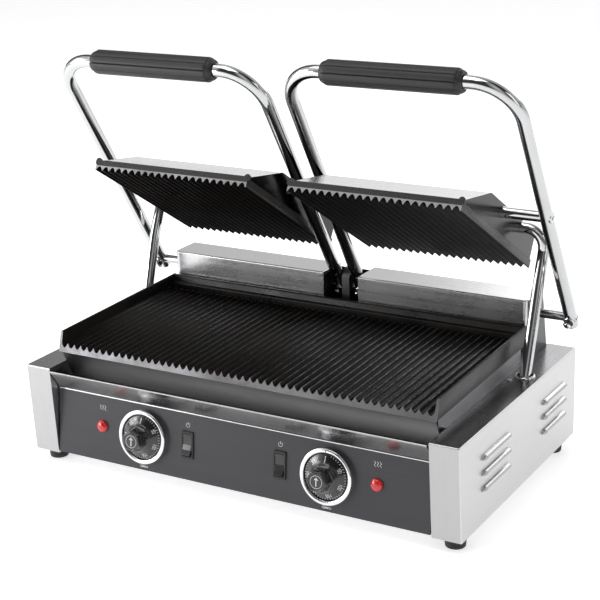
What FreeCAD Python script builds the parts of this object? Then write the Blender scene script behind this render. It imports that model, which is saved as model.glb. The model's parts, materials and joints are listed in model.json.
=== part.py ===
import FreeCAD, Part
import math
import os

V = FreeCAD.Vector
Rot = FreeCAD.Rotation
PL = FreeCAD.Placement
XAX = V(1, 0, 0)

doc = FreeCAD.newDocument("contact_grill")

# ------------------------------------------------------------------
# driving dimensions, millimetres and degrees
# ------------------------------------------------------------------
DIMS = [
    ("base_width", 570.0), ("base_depth", 337.0), ("origin_setback", 165.763),
    ("foot_height", 15.0), ("deck_height", 126.0), ("sheet_metal", 1.2),
    ("pillar_width", 35.0), ("pillar_rake", 6.0), ("panel_lean", 6.36),
    ("panel_height", 80.8), ("panel_width", 497.0), ("panel_plate", 2.0),
    ("knob_offset", 123.0), ("lamp_offset", 183.5), ("switch_offset", 61.8),
    ("bezel_radius", 32.5), ("bezel_height", 7.5), ("dial_radius", 26.3), ("grip_radius", 13.2), ("knob_reach", 27.5),
    ("plate_slope", 1.2), ("plate_length", 500.0), ("plate_depth", 247.5), ("plate_bottom", 141.5),
    ("plate_front", 20.0), ("rib_pitch", 9.5), ("rib_height", 5.2), ("plate_wall", 24.0),
    ("housing_front", 270.0), ("housing_top", 200.0), ("housing_rear_top", 316.0), ("housing_rear_low", 331.0),
    ("slot_half", 24.4),
    ("shaft_back", 299.0), ("shaft_height", 177.5), ("shaft_radius", 5.5),
    ("arm_inner", 14.4), ("arm_outer", 292.0), ("arm_radius", 7.75), ("arm_wall", 1.5),
    ("arm_angle_left", 57.8), ("arm_angle_right", 59.4), ("arm_angle_closed", 3.6958), ("arm_reach", 355.0), ("arm_bend", 48.0), ("arm_tail", 12.0),
    ("rod_distance", 165.78), ("rod_radius", 6.5),
    ("grip_start", 68.0), ("grip_end", 236.0), ("grip_outer", 14.5),
    ("upper_inner", 26.0), ("upper_width", 213.0), ("upper_depth", 228.0), ("upper_tilt_left", 32.2), ("upper_tilt_right", 31.05),
    ("rod_along", 110.4), ("rod_up", 33.3), ("cover_height", 44.0),
    ("conduit_radius", 6.8), ("conduit_side", 267.0), ("conduit_hole", 221.0),
    ("foot_radius", 12.5), ("foot_inset_side", 17.0), ("foot_inset_front", 28.0),
]
sheet = doc.addObject("Spreadsheet::Sheet", "dims")
D = {}
for i, (nm, vl) in enumerate(DIMS):
    r = str(i + 1)
    sheet.set("A" + r, nm)
    sheet.set("B" + r, str(vl))
    sheet.setAlias("B" + r, nm)
    D[nm] = vl
doc.recompute()

PIECES = []


def base_place(inner=None):
    # every piece is laid out from the front face of the base, then set back to the origin
    p = PL(V(0, -D["origin_setback"], 0), Rot())
    return p.multiply(inner) if inner is not None else p


def keep(obj, label, place=None):
    obj.Label = label
    obj.Placement = base_place(place).multiply(obj.Placement) if obj.TypeId != "PartDesign::Body" else base_place(place)
    PIECES.append((label, obj))
    return obj


def bind(obj, prop, expr):
    obj.setExpression(prop, expr)


# ------------------------------------------------------------------
# small helpers for bodies
# ------------------------------------------------------------------
COUNT = [0]


def uid(stem):
    COUNT[0] += 1
    return "%s%d" % (stem, COUNT[0])


def new_body(stem):
    return doc.addObject("PartDesign::Body", uid(stem))


def plane_of(body, role):
    for f in body.Origin.OriginFeatures:
        if f.Role == role:
            return f
    raise RuntimeError(role)


def put_loop(sk, loop):
    if loop[0] == "c":
        sk.addGeometry(Part.Circle(V(loop[1], loop[2], 0), V(0, 0, 1), loop[3]), False)
        return
    n = len(loop)
    geo = []
    for k in range(n):
        a, b = loop[k], loop[(k + 1) % n]
        geo.append(Part.LineSegment(V(a[0], a[1], 0), V(b[0], b[1], 0)))
    sk.addGeometry(geo, False)


def sketch(body, role, loops, level):
    sk = body.newObject("Sketcher::SketchObject", uid("sketch"))
    sk.AttachmentSupport = [(plane_of(body, role), "")]
    sk.MapMode = "FlatFace"
    sk.AttachmentOffset = PL(V(0, 0, level), Rot())
    for lp in loops:
        put_loop(sk, lp)
    return sk


def span(role, a, b):
    # range a..b on the world axis normal to the plane, as a range along the sketch normal
    return (-b, -a) if role == "XZ_Plane" else (a, b)


def pad(body, role, loops, a, b, expr=None):
    lo, hi = span(role, a, b)
    sk = sketch(body, role, loops, lo)
    f = body.newObject("PartDesign::Pad", uid("pad"))
    f.Profile = sk
    f.Length = hi - lo
    if expr:
        f.setExpression("Length", expr)
    doc.recompute()
    return f


def pocket(body, role, loops, a, b, expr=None):
    lo, hi = span(role, a, b)
    before = body.Shape.Volume
    sk = sketch(body, role, loops, hi)
    f = body.newObject("PartDesign::Pocket", uid("pocket"))
    f.Profile = sk
    f.Length = hi - lo
    if expr:
        f.setExpression("Length", expr)
    doc.recompute()
    if not body.Shape.Volume < before - 0.01:
        raise RuntimeError("pocket removed nothing: " + f.Name)
    return f


def revolve(body, pts, axis="V_Axis", role="XZ_Plane"):
    sk = sketch(body, role, [pts], 0)
    f = body.newObject("PartDesign::Revolution", uid("revolution"))
    f.Profile = sk
    f.ReferenceAxis = (sk, [axis])
    f.Angle = 360
    doc.recompute()
    return f


def edges_where(feature, test):
    out = []
    for k, e in enumerate(feature.Shape.Edges):
        if test(e):
            out.append("Edge%d" % (k + 1))
    return out


def fillet(body, base, test, radius):
    names = edges_where(base, test)
    if not names:
        raise RuntimeError("no edges to round on " + base.Name)
    f = body.newObject("PartDesign::Fillet", uid("fillet"))
    f.Base = (base, names)
    f.Radius = radius
    doc.recompute()
    return f


def chamfer(body, base, test, size):
    names = edges_where(base, test)
    if not names:
        raise RuntimeError("no edges to bevel on " + base.Name)
    f = body.newObject("PartDesign::Chamfer", uid("chamfer"))
    f.Base = (base, names)
    f.Size = size
    doc.recompute()
    return f


def along(e, axis, tol=1e-4):
    if len(e.Vertexes) != 2:
        return False
    d = e.Vertexes[1].Point.sub(e.Vertexes[0].Point)
    if d.Length < 1e-6:
        return False
    d.normalize()
    return abs(abs(d.dot(axis)) - 1) < tol


def mid(e):
    return e.BoundBox.Center


def pbox(x, y, z, lx, ly, lz, **ex):
    o = doc.addObject("Part::Box", uid("block"))
    o.Length, o.Width, o.Height = lx, ly, lz
    o.Placement = PL(V(x, y, z), Rot())
    for k in ex:
        o.setExpression(k, ex[k])
    return o


def pcyl(r, h, pos, axis, **ex):
    o = doc.addObject("Part::Cylinder", uid("round"))
    o.Radius, o.Height = r, h
    o.Placement = PL(V(*pos), Rot(V(0, 0, 1), V(*axis)))
    for k in ex:
        o.setExpression(k, ex[k])
    return o


def pcone(r1, r2, h, pos, axis=(0, 0, 1)):
    o = doc.addObject("Part::Cone", uid("taper"))
    o.Radius1, o.Radius2, o.Height = r1, r2, h
    o.Placement = PL(V(*pos), Rot(V(0, 0, 1), V(*axis)))
    return o


def psph(r, pos):
    o = doc.addObject("Part::Sphere", uid("ball"))
    o.Radius = r
    o.Placement = PL(V(*pos), Rot())
    return o


def pfuse(parts):
    o = doc.addObject("Part::MultiFuse", uid("joined"))
    o.Shapes = parts
    return o


def pcut(base, tools):
    o = doc.addObject("Part::Cut", uid("cut"))
    o.Base = base
    o.Tool = tools[0] if len(tools) == 1 else pfuse(tools)
    return o


def pcommon(parts):
    o = doc.addObject("Part::MultiCommon", uid("shared"))
    o.Shapes = parts
    return o


def group(parts):
    o = doc.addObject("Part::Compound", uid("group"))
    o.Links = parts
    return o


HALF = D["base_width"] / 2
T = D["sheet_metal"]
DECK = D["deck_height"]
BOT = D["foot_height"]
DEP = D["base_depth"]
INNER = HALF - D["pillar_width"]


def near(a, b, tol=0.05):
    return abs(a - b) < tol


# ------------------------------------------------------------------
# side housings: folded sheet with pillar, deck strip and pressed louvres
# ------------------------------------------------------------------
LOUVRES = [(58.0, 135.0), (231.0, 304.0)]
LOUVRE_Z = [53.0, 71.5, 89.5]


def side_housing(sx):
    b = new_body("side")
    xs = (INNER, HALF) if sx > 0 else (-HALF, -INNER)
    prof = [(D["pillar_rake"], BOT), (0.0, DECK), (DEP, DECK), (DEP, BOT)]
    f = pad(b, "YZ_Plane", [prof], xs[0], xs[1], "dims.pillar_width")
    xo = sx * HALF
    f = fillet(b, f, lambda e: (near(mid(e).x, xo) and (near(mid(e).z, DECK) or mid(e).y < 7.0) and not near(mid(e).z, BOT))
               or (near(mid(e).z, DECK) and near(mid(e).y, 0.0) and along(e, XAX)), 1.6)
    a, c = (INNER - 1, HALF - T) if sx > 0 else (-(HALF - T), -(INNER - 1))
    inner = [(D["pillar_rake"] + T, BOT - 2), (T, DECK - T), (DEP - T, DECK - T), (DEP - T, BOT - 2)]
    pocket(b, "YZ_Plane", [inner], a, c)
    # folded return of the pillar and the turned-down inner edge of the deck strip
    a, c = (INNER, INNER + T) if sx > 0 else (-(INNER + T), -INNER)
    ret = [(D["pillar_rake"] + 0.3, BOT), (0.3, DECK - 0.4), (DEP - 0.4, DECK - 0.4), (DEP - 0.4, 98.0), (46.0, 98.0), (24.0, 84.0), (20.0, BOT)]
    pad(b, "YZ_Plane", [ret], a, c, "dims.sheet_metal")
    # hole for the conduit in the deck strip
    pocket(b, "XY_Plane", [("c", sx * D["conduit_side"], D["conduit_hole"], 10.3)], DECK - 3, DECK + 2)
    hoods, cores = [], []
    for (y0, y1) in LOUVRES:
        for zc in LOUVRE_Z:
            for (rr, store) in ((6.2, hoods), (5.2, cores)):
                ya, yb = y0 + 6.2, y1 - 6.2
                xc = sx * (HALF - 0.9)
                store.append(pcyl(rr, yb - ya, (xc, ya, zc), (0, 1, 0)))
                store.append(psph(rr, (xc, ya, zc)))
                store.append(psph(rr, (xc, yb, zc)))
    clips = []
    for zc in LOUVRE_Z:
        x0 = HALF - T if sx > 0 else -(HALF - T) - 8
        clips.append(pbox(x0, 40, zc, 8, 280, 7.5))
    hood = pcommon([pfuse(hoods), pfuse(clips)])
    clips2 = []
    for zc in LOUVRE_Z:
        x0 = HALF - 8 if sx > 0 else -(HALF - 8) - 16
        clips2.append(pbox(x0, 40, zc - 0.6, 16, 280, 8.1))
    core = pcommon([pfuse(cores), pfuse(clips2)])
    return pcut(pfuse([b, hood]), [core])


keep(side_housing(-1), "left_side_housing")
keep(side_housing(1), "right_side_housing")

# ------------------------------------------------------------------
# control panel and controls, built on the panel face
# ------------------------------------------------------------------
LEAN = D["panel_lean"]
PANEL = PL(V(0, 5.9, 17.4), Rot(XAX, 90 - LEAN))
PH = D["panel_height"] / math.cos(math.radians(LEAN))
KY, SY, LY = 41.9, 42.3, 43.4

b = new_body("panel")
holes = []
for s in (-1, 1):
    holes.append(("c", s * D["knob_offset"], KY, 5.2))
    holes.append(("c", s * D["lamp_offset"], LY, 5.2))
    cx = s * D["switch_offset"]
    holes.append([(cx - 6.9, SY - 14.6), (cx + 6.9, SY - 14.6), (cx + 6.9, SY + 14.6), (cx - 6.9, SY + 14.6)])
hw = D["panel_width"] / 2
pad(b, "XY_Plane", [[(-hw, 0), (hw, 0), (hw, PH), (-hw, PH)]] + holes, -D["panel_plate"], 0, "dims.panel_plate")
# top flange that carries the drip tray
pad(b, "XY_Plane", [[(-hw, PH - 1.2), (hw, PH - 1.2), (hw, PH), (-hw, PH)]], -14, -1.0)
keep(b, "control_panel", PANEL)


def face_turn(s, off, y):
    # revolved bodies turn about local Z; XZ sketch puts Z up, so the axis already points out of the panel
    return PL(V(s * off, y, 0), Rot())


rings = []
for s in (-1, 1):
    o = new_body("bezel")
    R = D["bezel_radius"]
    H = D["bezel_height"]
    revolve(o, [(27.2, 0.02), (R - 1.0, 0.02), (R - 1.0, H - 3.0), (R, H - 2.2), (R - 0.6, H - 0.6), (R - 2.0, H), (28.4, H), (27.2, H - 1.2)])
    o.Placement = face_turn(s, D["knob_offset"], KY)
    rings.append(o)
keep(group(rings), "dial_bezels", PANEL)


def knob(s):
    o = new_body("knob")
    R, G, Z = D["dial_radius"], D["grip_radius"], D["knob_reach"]
    f = revolve(o, [(3.05, 0.6), (R, 0.6), (R, 5.4), (R - 1.0, 6.6), (G + 4.0, 9.6), (G + 1.4, 10.8), (G + 0.6, 12.0),
                    (G, Z - 1.6), (G - 1.6, Z), (0, Z), (0, 14.2), (3.05, 14.2)])
    # two shallow finger flats on the grip
    pocket(o, "XY_Plane", [[(G - 1.3, -9), (G + 3, -9), (G + 3, 9), (G - 1.3, 9)]], 12.5, Z + 1)
    pocket(o, "XY_Plane", [[(-G - 3, -9), (-G + 1.3, -9), (-G + 1.3, 9), (-G - 3, 9)]], 12.5, Z + 1)
    return o


def spindle(s):
    o = new_body("spindle")
    pad(o, "XY_Plane", [("c", 0, 0, 3.0)], -14.0, 14.0)
    return o


def thermostat(s):
    o = new_body("thermostat")
    f = pad(o, "XY_Plane", [[(-16, -16), (16, -16), (16, 16), (-16, 16)], ("c", 0, 0, 3.15)], -26.0, -3.0)
    pad(o, "XY_Plane", [("c", 0, 0, 4.9), ("c", 0, 0, 3.15)], -3.0, -0.4)
    pad(o, "XY_Plane", [("c", 0, 0, 12.0)], -32.0, -26.0)
    # capillary outlet
    pad(o, "XZ_Plane", [("c", 8, -22, 1.5)], -28, -15.5)
    return o


for s, nm in ((-1, "left"), (1, "right")):
    place = PANEL.multiply(PL(V(s * D["knob_offset"], KY, 0), Rot()))
    keep(knob(s), "temperature_knob_" + nm, place)
    keep(spindle(s), "thermostat_spindle_" + nm, place)
    keep(thermostat(s), "thermostat_" + nm, place)


def switch_housing():
    o = new_body("switchbox")
    # visible frame, then the body behind the panel
    f = pad(o, "XY_Plane", [[(-8, -16.4), (8, -16.4), (8, 16.4), (-8, 16.4)]], 0.02, 2.2)
    f = fillet(o, f, lambda e: along(e, V(0, 0, 1)), 1.5)
    f = chamfer(o, f, lambda e: near(mid(e).z, 2.2) and e.Length > 5, 0.7)
    pad(o, "XY_Plane", [[(-6.8, -14.4), (6.8, -14.4), (6.8, 14.4), (-6.8, 14.4)]], -20, 0.1)
    pocket(o, "XY_Plane", [[(-6.0, -13.6), (6.0, -13.6), (6.0, 13.6), (-6.0, 13.6)]], -13, 3)
    # cross pin that the paddle tips on
    pad(o, "YZ_Plane", [("c", 0, -3.0, 1.2)], -6.4, 6.4)
    return o


def rocker():
    o = new_body("rocker")
    # paddle drawn at its rest tilt of 8 degrees about the cross pin
    pts = [(-12.6, -4.6), (-12.9, 0.8), (-12.3, 3.9), (-6.0, 2.2), (0, 1.6), (6.0, 2.2), (12.3, 3.9), (12.9, 0.8), (12.6, -4.6), (5, -8.4), (-5, -8.4)]
    tilt = math.radians(-8)
    c, s_ = math.cos(tilt), math.sin(tilt)
    px, pz = 0.0, -3.0
    rp = []
    for (u, w) in pts:
        du, dw = u - px, w - pz
        rp.append((px + du * c - dw * s_, pz + du * s_ + dw * c))
    f = pad(o, "YZ_Plane", [rp, ("c", 0, -3.0, 1.25)], -5.7, 5.7)
    fillet(o, f, lambda e: along(e, XAX) and mid(e).z > -1.5, 0.5)
    return o


for s, nm in ((-1, "left"), (1, "right")):
    place = PANEL.multiply(PL(V(s * D["switch_offset"], SY, 0), Rot()))
    keep(switch_housing(), "switch_housing_" + nm, place)
    keep(rocker(), "rocker_" + nm, place)

for s, nm in ((-1, "left"), (1, "right")):
    o = new_body("lamp")
    dome = [(0, -16), (4.2, -16), (4.2, -6), (5.0, -6), (5.0, 0.02), (7.4, 0.02), (7.4, 1.1), (6.7, 1.9), (5.6, 1.9)]
    for k in range(1, 8):
        a = math.radians(k * 90.0 / 7)
        dome.append((5.6 * math.cos(a), 1.9 + 3.4 * math.sin(a)))
    dome[-1] = (0, 5.3)
    revolve(o, dome)
    keep(o, "indicator_lamp_" + nm, PANEL.multiply(PL(V(s * D["lamp_offset"], LY, 0), Rot())))

# ------------------------------------------------------------------
# drip tray: slanted lip, ridge, floor and end walls
# ------------------------------------------------------------------
b = new_body("tray")
TW = 248.4
lip = [(14.3, 99.5), (-1.7, 122.0), (-1.6, 122.9), (-0.8, 123.4), (0.1, 123.1), (15.6, 100.7), (48.8, 100.7), (48.8, 102.8), (50, 102.8), (50, 99.5)]
pad(b, "YZ_Plane", [lip], -TW, TW)
wall = [(14.3, 99.5), (-0.9, 121.4), (0.3, 122.4), (20, 122.4), (33, 105.4), (39, 103.0), (49, 102.4), (50, 99.5)]
pad(b, "YZ_Plane", [wall], -TW, -TW + T)
pad(b, "YZ_Plane", [wall], TW - T, TW)
keep(b, "drip_tray")

# front apron under the plate, sloping back into the tray
b = new_body("apron")
pad(b, "YZ_Plane", [[(22.0, 141.1), (23.3, 141.1), (42.4, 104.4), (41.1, 104.4)]], -247.5, 247.5)
keep(b, "front_apron")

# ------------------------------------------------------------------
# lower plate: ribbed casting with splash walls
# ------------------------------------------------------------------
LOWER = PL(V(0, D["plate_front"], D["plate_bottom"]), Rot(XAX, D["plate_slope"]))
PX = D["plate_length"] / 2
PW = D["plate_wall"]
VAL, TIP = 5.4, 5.4 + D["rib_height"]


def scallop(x0, count, pitch, tip, valley, up=1):
    # crest, rounded valley, crest ... left to right
    pts = []
    for k in range(count):
        xa = x0 + k * pitch
        for (fx, fz) in ((0.04, 1.0), (0.17, 0.55), (0.30, 0.16), (0.50, 0.0), (0.70, 0.16), (0.83, 0.55), (0.96, 1.0)):
            pts.append((xa + fx * pitch, valley + (tip - valley) * fz))
    return pts


b = new_body("grid")
n = 52
x0 = -n * D["rib_pitch"] / 2
row = scallop(x0, n, D["rib_pitch"], TIP, VAL)
outline = [(-PX, 0), (PX, 0), (PX, PW - 0.8), (PX - 0.8, PW), (PX - 2.2, PW), (PX - 2.9, PW - 1.0)] + row[::-1] + \
          [(-PX + 2.9, PW - 1.0), (-PX + 2.2, PW), (-PX + 0.8, PW), (-PX, PW - 0.8)]
pad(b, "XZ_Plane", [outline], 0, D["plate_depth"], "dims.plate_depth")
pad(b, "YZ_Plane", [[(237.5, 0.2), (237.5, 13.5), (238.3, 14.6), (241.6, 15.2), (242.6, PW - 1.3), (243.6, PW - 0.4), (D["plate_depth"], PW - 0.4), (D["plate_depth"], 0.2)]], -PX + 0.4, PX - 0.4)
pocket(b, "YZ_Plane", [[(0.0, 0.0), (7.3, PW), (7.3, PW + 4), (-3, PW + 4), (-3, 0.0)]], -PX - 2, PX + 2)
# clearance recess on the underside for the heating elements
pocket(b, "XY_Plane", [[(-232, 22), (232, 22), (232, 226), (-232, 226)]], -1, 1.2)
keep(b, "lower_grill_plate", LOWER)

# support frame between deck and plate
b = new_body("frame")
tanp = math.tan(math.radians(D["plate_slope"]))
ztop = lambda y: D["plate_bottom"] + (y - D["plate_front"]) * tanp - 0.1
pad(b, "YZ_Plane", [[(34, DECK + 0.1), (34, ztop(34)), (262, ztop(262)), (262, DECK + 0.1)]], -245, 245)
pocket(b, "XY_Plane", [[(-243, 36), (243, 36), (243, 260), (-243, 260)]], DECK - 2, 160)
keep(b, "plate_support_frame")

# heating elements: hairpin sheathed tubes


def hairpin(x_lo, x_hi, y_lo, y_hi, r, level):
    # four parallel runs joined by bends, swept from one terminal to the other
    o = new_body("element")
    step = (x_hi - x_lo) / 3.0
    rad = step / 2
    path = o.newObject("Sketcher::SketchObject", uid("path"))
    path.AttachmentSupport = [(plane_of(o, "XY_Plane"), "")]
    path.MapMode = "FlatFace"
    path.AttachmentOffset = PL(V(0, 0, level), Rot())
    xs = [x_lo + step * k for k in range(4)]
    geo = []
    geo.append(Part.LineSegment(V(xs[0], y_hi + 18, 0), V(xs[0], y_lo + rad, 0)))
    geo.append(Part.Arc(V(xs[0], y_lo + rad, 0), V(xs[0] + rad, y_lo, 0), V(xs[1], y_lo + rad, 0)))
    geo.append(Part.LineSegment(V(xs[1], y_lo + rad, 0), V(xs[1], y_hi - rad, 0)))
    geo.append(Part.Arc(V(xs[1], y_hi - rad, 0), V(xs[1] + rad, y_hi, 0), V(xs[2], y_hi - rad, 0)))
    geo.append(Part.LineSegment(V(xs[2], y_hi - rad, 0), V(xs[2], y_lo + rad, 0)))
    geo.append(Part.Arc(V(xs[2], y_lo + rad, 0), V(xs[2] + rad, y_lo, 0), V(xs[3], y_lo + rad, 0)))
    geo.append(Part.LineSegment(V(xs[3], y_lo + rad, 0), V(xs[3], y_hi + 18, 0)))
    path.addGeometry(geo, False)
    prof = sketch(o, "XZ_Plane", [("c", xs[0], level, r)], -(y_hi + 18))
    p = o.newObject("PartDesign::AdditivePipe", uid("pipe"))
    p.Profile = prof
    p.Spine = (path, ["Edge%d" % (k + 1) for k in range(len(geo))])
    doc.recompute()
    return o


for s, nm in ((-1, "left"), (1, "right")):
    a, c = (28, 214) if s > 0 else (-214, -28)
    keep(hairpin(a, c, 30, 205, 3.2, -4.0), "lower_heater_" + nm, LOWER)

ins = pbox(-236, 44, 127.6, 472, 208, 5.0)
keep(ins, "lower_insulation")

# deck panel behind and beneath the plate, with rear fold
b = new_body("deck")
pad(b, "YZ_Plane", [[(44.5, DECK - T), (44.5, DECK), (DEP - 2.0, DECK), (DEP - 2.0, 96), (DEP - 3.2, 96), (DEP - 3.2, DECK - T)]], -INNER + 0.3, INNER - 0.3)
keep(b, "deck_panel")

# ------------------------------------------------------------------
# rear housing
# ------------------------------------------------------------------
HF, HT, HR1, HR2 = D["housing_front"], D["housing_top"], D["housing_rear_top"], D["housing_rear_low"]
SYC, SZC = D["shaft_back"], D["shaft_height"]


def shell(off, x, zlow, rad):
    o = new_body("hood")
    k = (HR2 - HR1) / (HT - DECK)
    prof = [(HF + off, zlow), (HF + off, HT - off), (HR1 - off, HT - off), (HR1 - off + (HT - off - zlow) * k, zlow)]
    f = pad(o, "YZ_Plane", [prof], -x, x)
    f = fillet(o, f, lambda e: along(e, V(0, 0, 1)) and near(mid(e).y, HF + off), rad)
    if off == 0:
        f = fillet(o, f, lambda e: near(mid(e).z, HT) and mid(e).y < HR1 - 1 and abs(mid(e).x) < 200 and near(mid(e).y, HF), 1.6)
    return o


outer = shell(0, INNER, DECK + 0.1, 8.0)
inner_s = shell(T, INNER - T, DECK - 4, 6.8)
tools = [inner_s,
         pbox(-D["slot_half"], HF - 2, 160, 2 * D["slot_half"], 60, 60),
         pcyl(7.6, 20, (INNER - 10, SYC, SZC), (1, 0, 0)),
         pcyl(7.6, 20, (-INNER - 10, SYC, SZC), (1, 0, 0))]
keep(pcut(outer, tools), "rear_housing_cover")

# centre bracket: cheeks, back, floor and the middle bearing block
SH = D["slot_half"]
b = new_body("bracket")
back = [(HF + 2.5, 150), (HF + 2.5, 152), (321.1, 152), (312.9, 196), (314.2, 196), (322.8, 150)]
pad(b, "YZ_Plane", [back], -SH + 0.2, SH - 0.2)
cheek = [(HF + 2.5, 150.5), (HF + 2.5, 197.5), (311.8, 197.5), (320.6, 150.5)]
pad(b, "YZ_Plane", [cheek], -SH + 0.2, -SH + 1.2)
pad(b, "YZ_Plane", [cheek], SH - 1.2, SH - 0.2)
block = [(283, 150.5), (283, 193), (291, 203), (306, 203), (313.0, 194), (320.5, 150.5)]
pad(b, "YZ_Plane", [block], -5.4, 5.4)
pocket(b, "YZ_Plane", [("c", SYC, SZC, 7.55)], -30, 30)
pad(b, "YZ_Plane", [("c", SYC, SZC, 7.9)], -0.4, 0.4)
keep(b, "center_bracket")

# shaft bushes
bush = []
for s in (-1, 1):
    for (x1, x2) in ((246.0, 252.6), (0.5, 5.6)):
        xa = x1 if s > 0 else -x2
        o = new_body("bush")
        pad(o, "YZ_Plane", [("c", SYC, SZC, 7.5), ("c", SYC, SZC, D["shaft_radius"] + 0.04)], xa, xa + (x2 - x1))
        bush.append(o)
keep(group(bush), "shaft_bushes")

# ------------------------------------------------------------------
# feet, bottom, back, wiring
# ------------------------------------------------------------------
FR, FI, FF = D["foot_radius"], D["foot_inset_side"], D["foot_inset_front"]
feet = []
for fx in (-1, 1):
    for fy in (FF, DEP - FF):
        o = new_body("foot")
        revolve(o, [(0, 0), (FR - 2.0, 0), (FR - 1.2, 0.8), (FR, 13.6), (FR, 16.2), (0, 16.2)])
        o.Placement = PL(V(fx * (HALF - FI), fy, 0), Rot())
        feet.append(o)
keep(group(feet), "feet")

b = new_body("bottom")
slots = []
for k in range(-4, 5):
    slots.append([(k * 36 - 12, 150), (k * 36 + 12, 150), (k * 36 + 12, 155), (k * 36 - 12, 155)])
edge = [(-INNER + 0.5, 9.5), (INNER - 0.5, 9.5), (INNER - 0.5, 21.5), (HALF - 2, 21.5), (HALF - 2, DEP - 4), (-HALF + 2, DEP - 4), (-HALF + 2, 21.5), (-INNER + 0.5, 21.5)]
pad(b, "XY_Plane", [edge] + slots, 16.3, 17.5, "dims.sheet_metal")
keep(b, "bottom_panel")

b = new_body("rear")
vents = [("c", -210, 50, 9.05)]
for k in range(6):
    for zz in (60, 72, 84):
        xx = -90 + 36 * k
        vents.append([(xx - 11, zz), (xx + 11, zz), (xx + 11, zz + 4), (xx - 11, zz + 4)])
pad(b, "XZ_Plane", [[(-HALF + 2, 17.6), (HALF - 2, 17.6), (HALF - 2, 95), (-HALF + 2, 95)]] + vents, DEP - 3.2, DEP - 1.4)
keep(b, "back_panel")

b = new_body("gland")
f = revolve(b, [(4.2, -14), (9.0, -14), (9.0, 0), (13, 0), (13, 2.0), (12, 5), (10, 12), (8.2, 14), (5.2, 14), (4.2, 13)])
keep(b, "cable_gland", PL(V(-210, DEP - 1.4, 50), Rot(XAX, -90)))

b = new_body("terminals")
f = pad(b, "XY_Plane", [[(-34, -9), (34, -9), (34, 9), (-34, 9)]], 0, 16)
for k in range(6):
    pocket(b, "XY_Plane", [("c", -27.5 + 11 * k, 0, 3.2)], 9, 17)
keep(b, "terminal_block", PL(V(-140, 290, 17.6), Rot()))

# ------------------------------------------------------------------
# conduit collars and case screws
# ------------------------------------------------------------------
cols = []
for s in (-1, 1):
    o = new_body("collar")
    revolve(o, [(9.2, -5.5), (10.2, -5.5), (10.2, 0.05), (12.2, 0.05), (12.2, 1.0), (11.4, 2.2), (10.0, 2.8), (9.2, 2.2)])
    o.Placement = PL(V(s * D["conduit_side"], D["conduit_hole"], DECK), Rot())
    cols.append(o)
keep(group(cols), "conduit_collars")

scr = []


def screw(pos, axis, r=3.1):
    o = new_body("screw")
    revolve(o, [(0, 0.03), (r, 0.03), (r, 0.7), (r * 0.72, 1.7), (0, 2.1)])
    o.Placement = PL(V(*pos), Rot(V(0, 0, 1), V(*axis)))
    return o


for s in (-1, 1):
    for y in (203.0, 241.0):
        scr.append(screw((s * 255.4, y, DECK), (0, 0, 1)))
for (x, y) in ((-270, DEP), (-90, DEP - 1.4), (90, DEP - 1.4), (270, DEP)):
    scr.append(screw((x, y, 30), (0, 1, 0)))
for x in (-200, -80, 80, 200):
    o = screw((x, 0, 0), (0, 1, 0))
    o.Placement = PL(V(x, HR2 - 10.0 * (HR2 - HR1) / (HT - DECK) + 0.02, DECK + 10), Rot(V(0, 0, 1), V(0, 1, 0.2)))
    scr.append(o)
keep(group(scr), "case_screws")

# ------------------------------------------------------------------
# lids: handle frames, shafts, rods, plates
# ------------------------------------------------------------------
RL = D["rod_distance"]
A0, TILT, ARM, ROD0, UPPER = {}, {}, {}, {}, {}
for s, nm in ((-1, "left"), (1, "right")):
    A0[s], TILT[s] = D["arm_angle_" + nm], D["upper_tilt_" + nm]
    a_ = math.radians(A0[s])
    ARM[s] = PL(V(0, SYC, SZC), Rot(XAX, 180 - A0[s]))
    ROD0[s] = (SYC - RL * math.cos(a_), SZC + RL * math.sin(a_))
    UPPER[s] = PL(V(0, ROD0[s][0], ROD0[s][1]), Rot(XAX, -TILT[s])).multiply(PL(V(0, -D["rod_along"], -D["rod_up"]), Rot()))


def passing_point(s, t):
    # the point of the raised plate's frame that stands in the deck hole when the lid is a share t closed
    theta = (A0[s] - D["arm_angle_closed"]) * t
    phi = math.radians((TILT[s] + D["plate_slope"]) * t)
    a = math.radians(A0[s] - theta)
    dy = D["conduit_hole"] - (SYC - RL * math.cos(a))
    dz = DECK - (SZC + RL * math.sin(a))
    return (dy * math.cos(phi) + dz * math.sin(phi) + ROD0[s][0], -dy * math.sin(phi) + dz * math.cos(phi) + ROD0[s][1])


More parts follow.
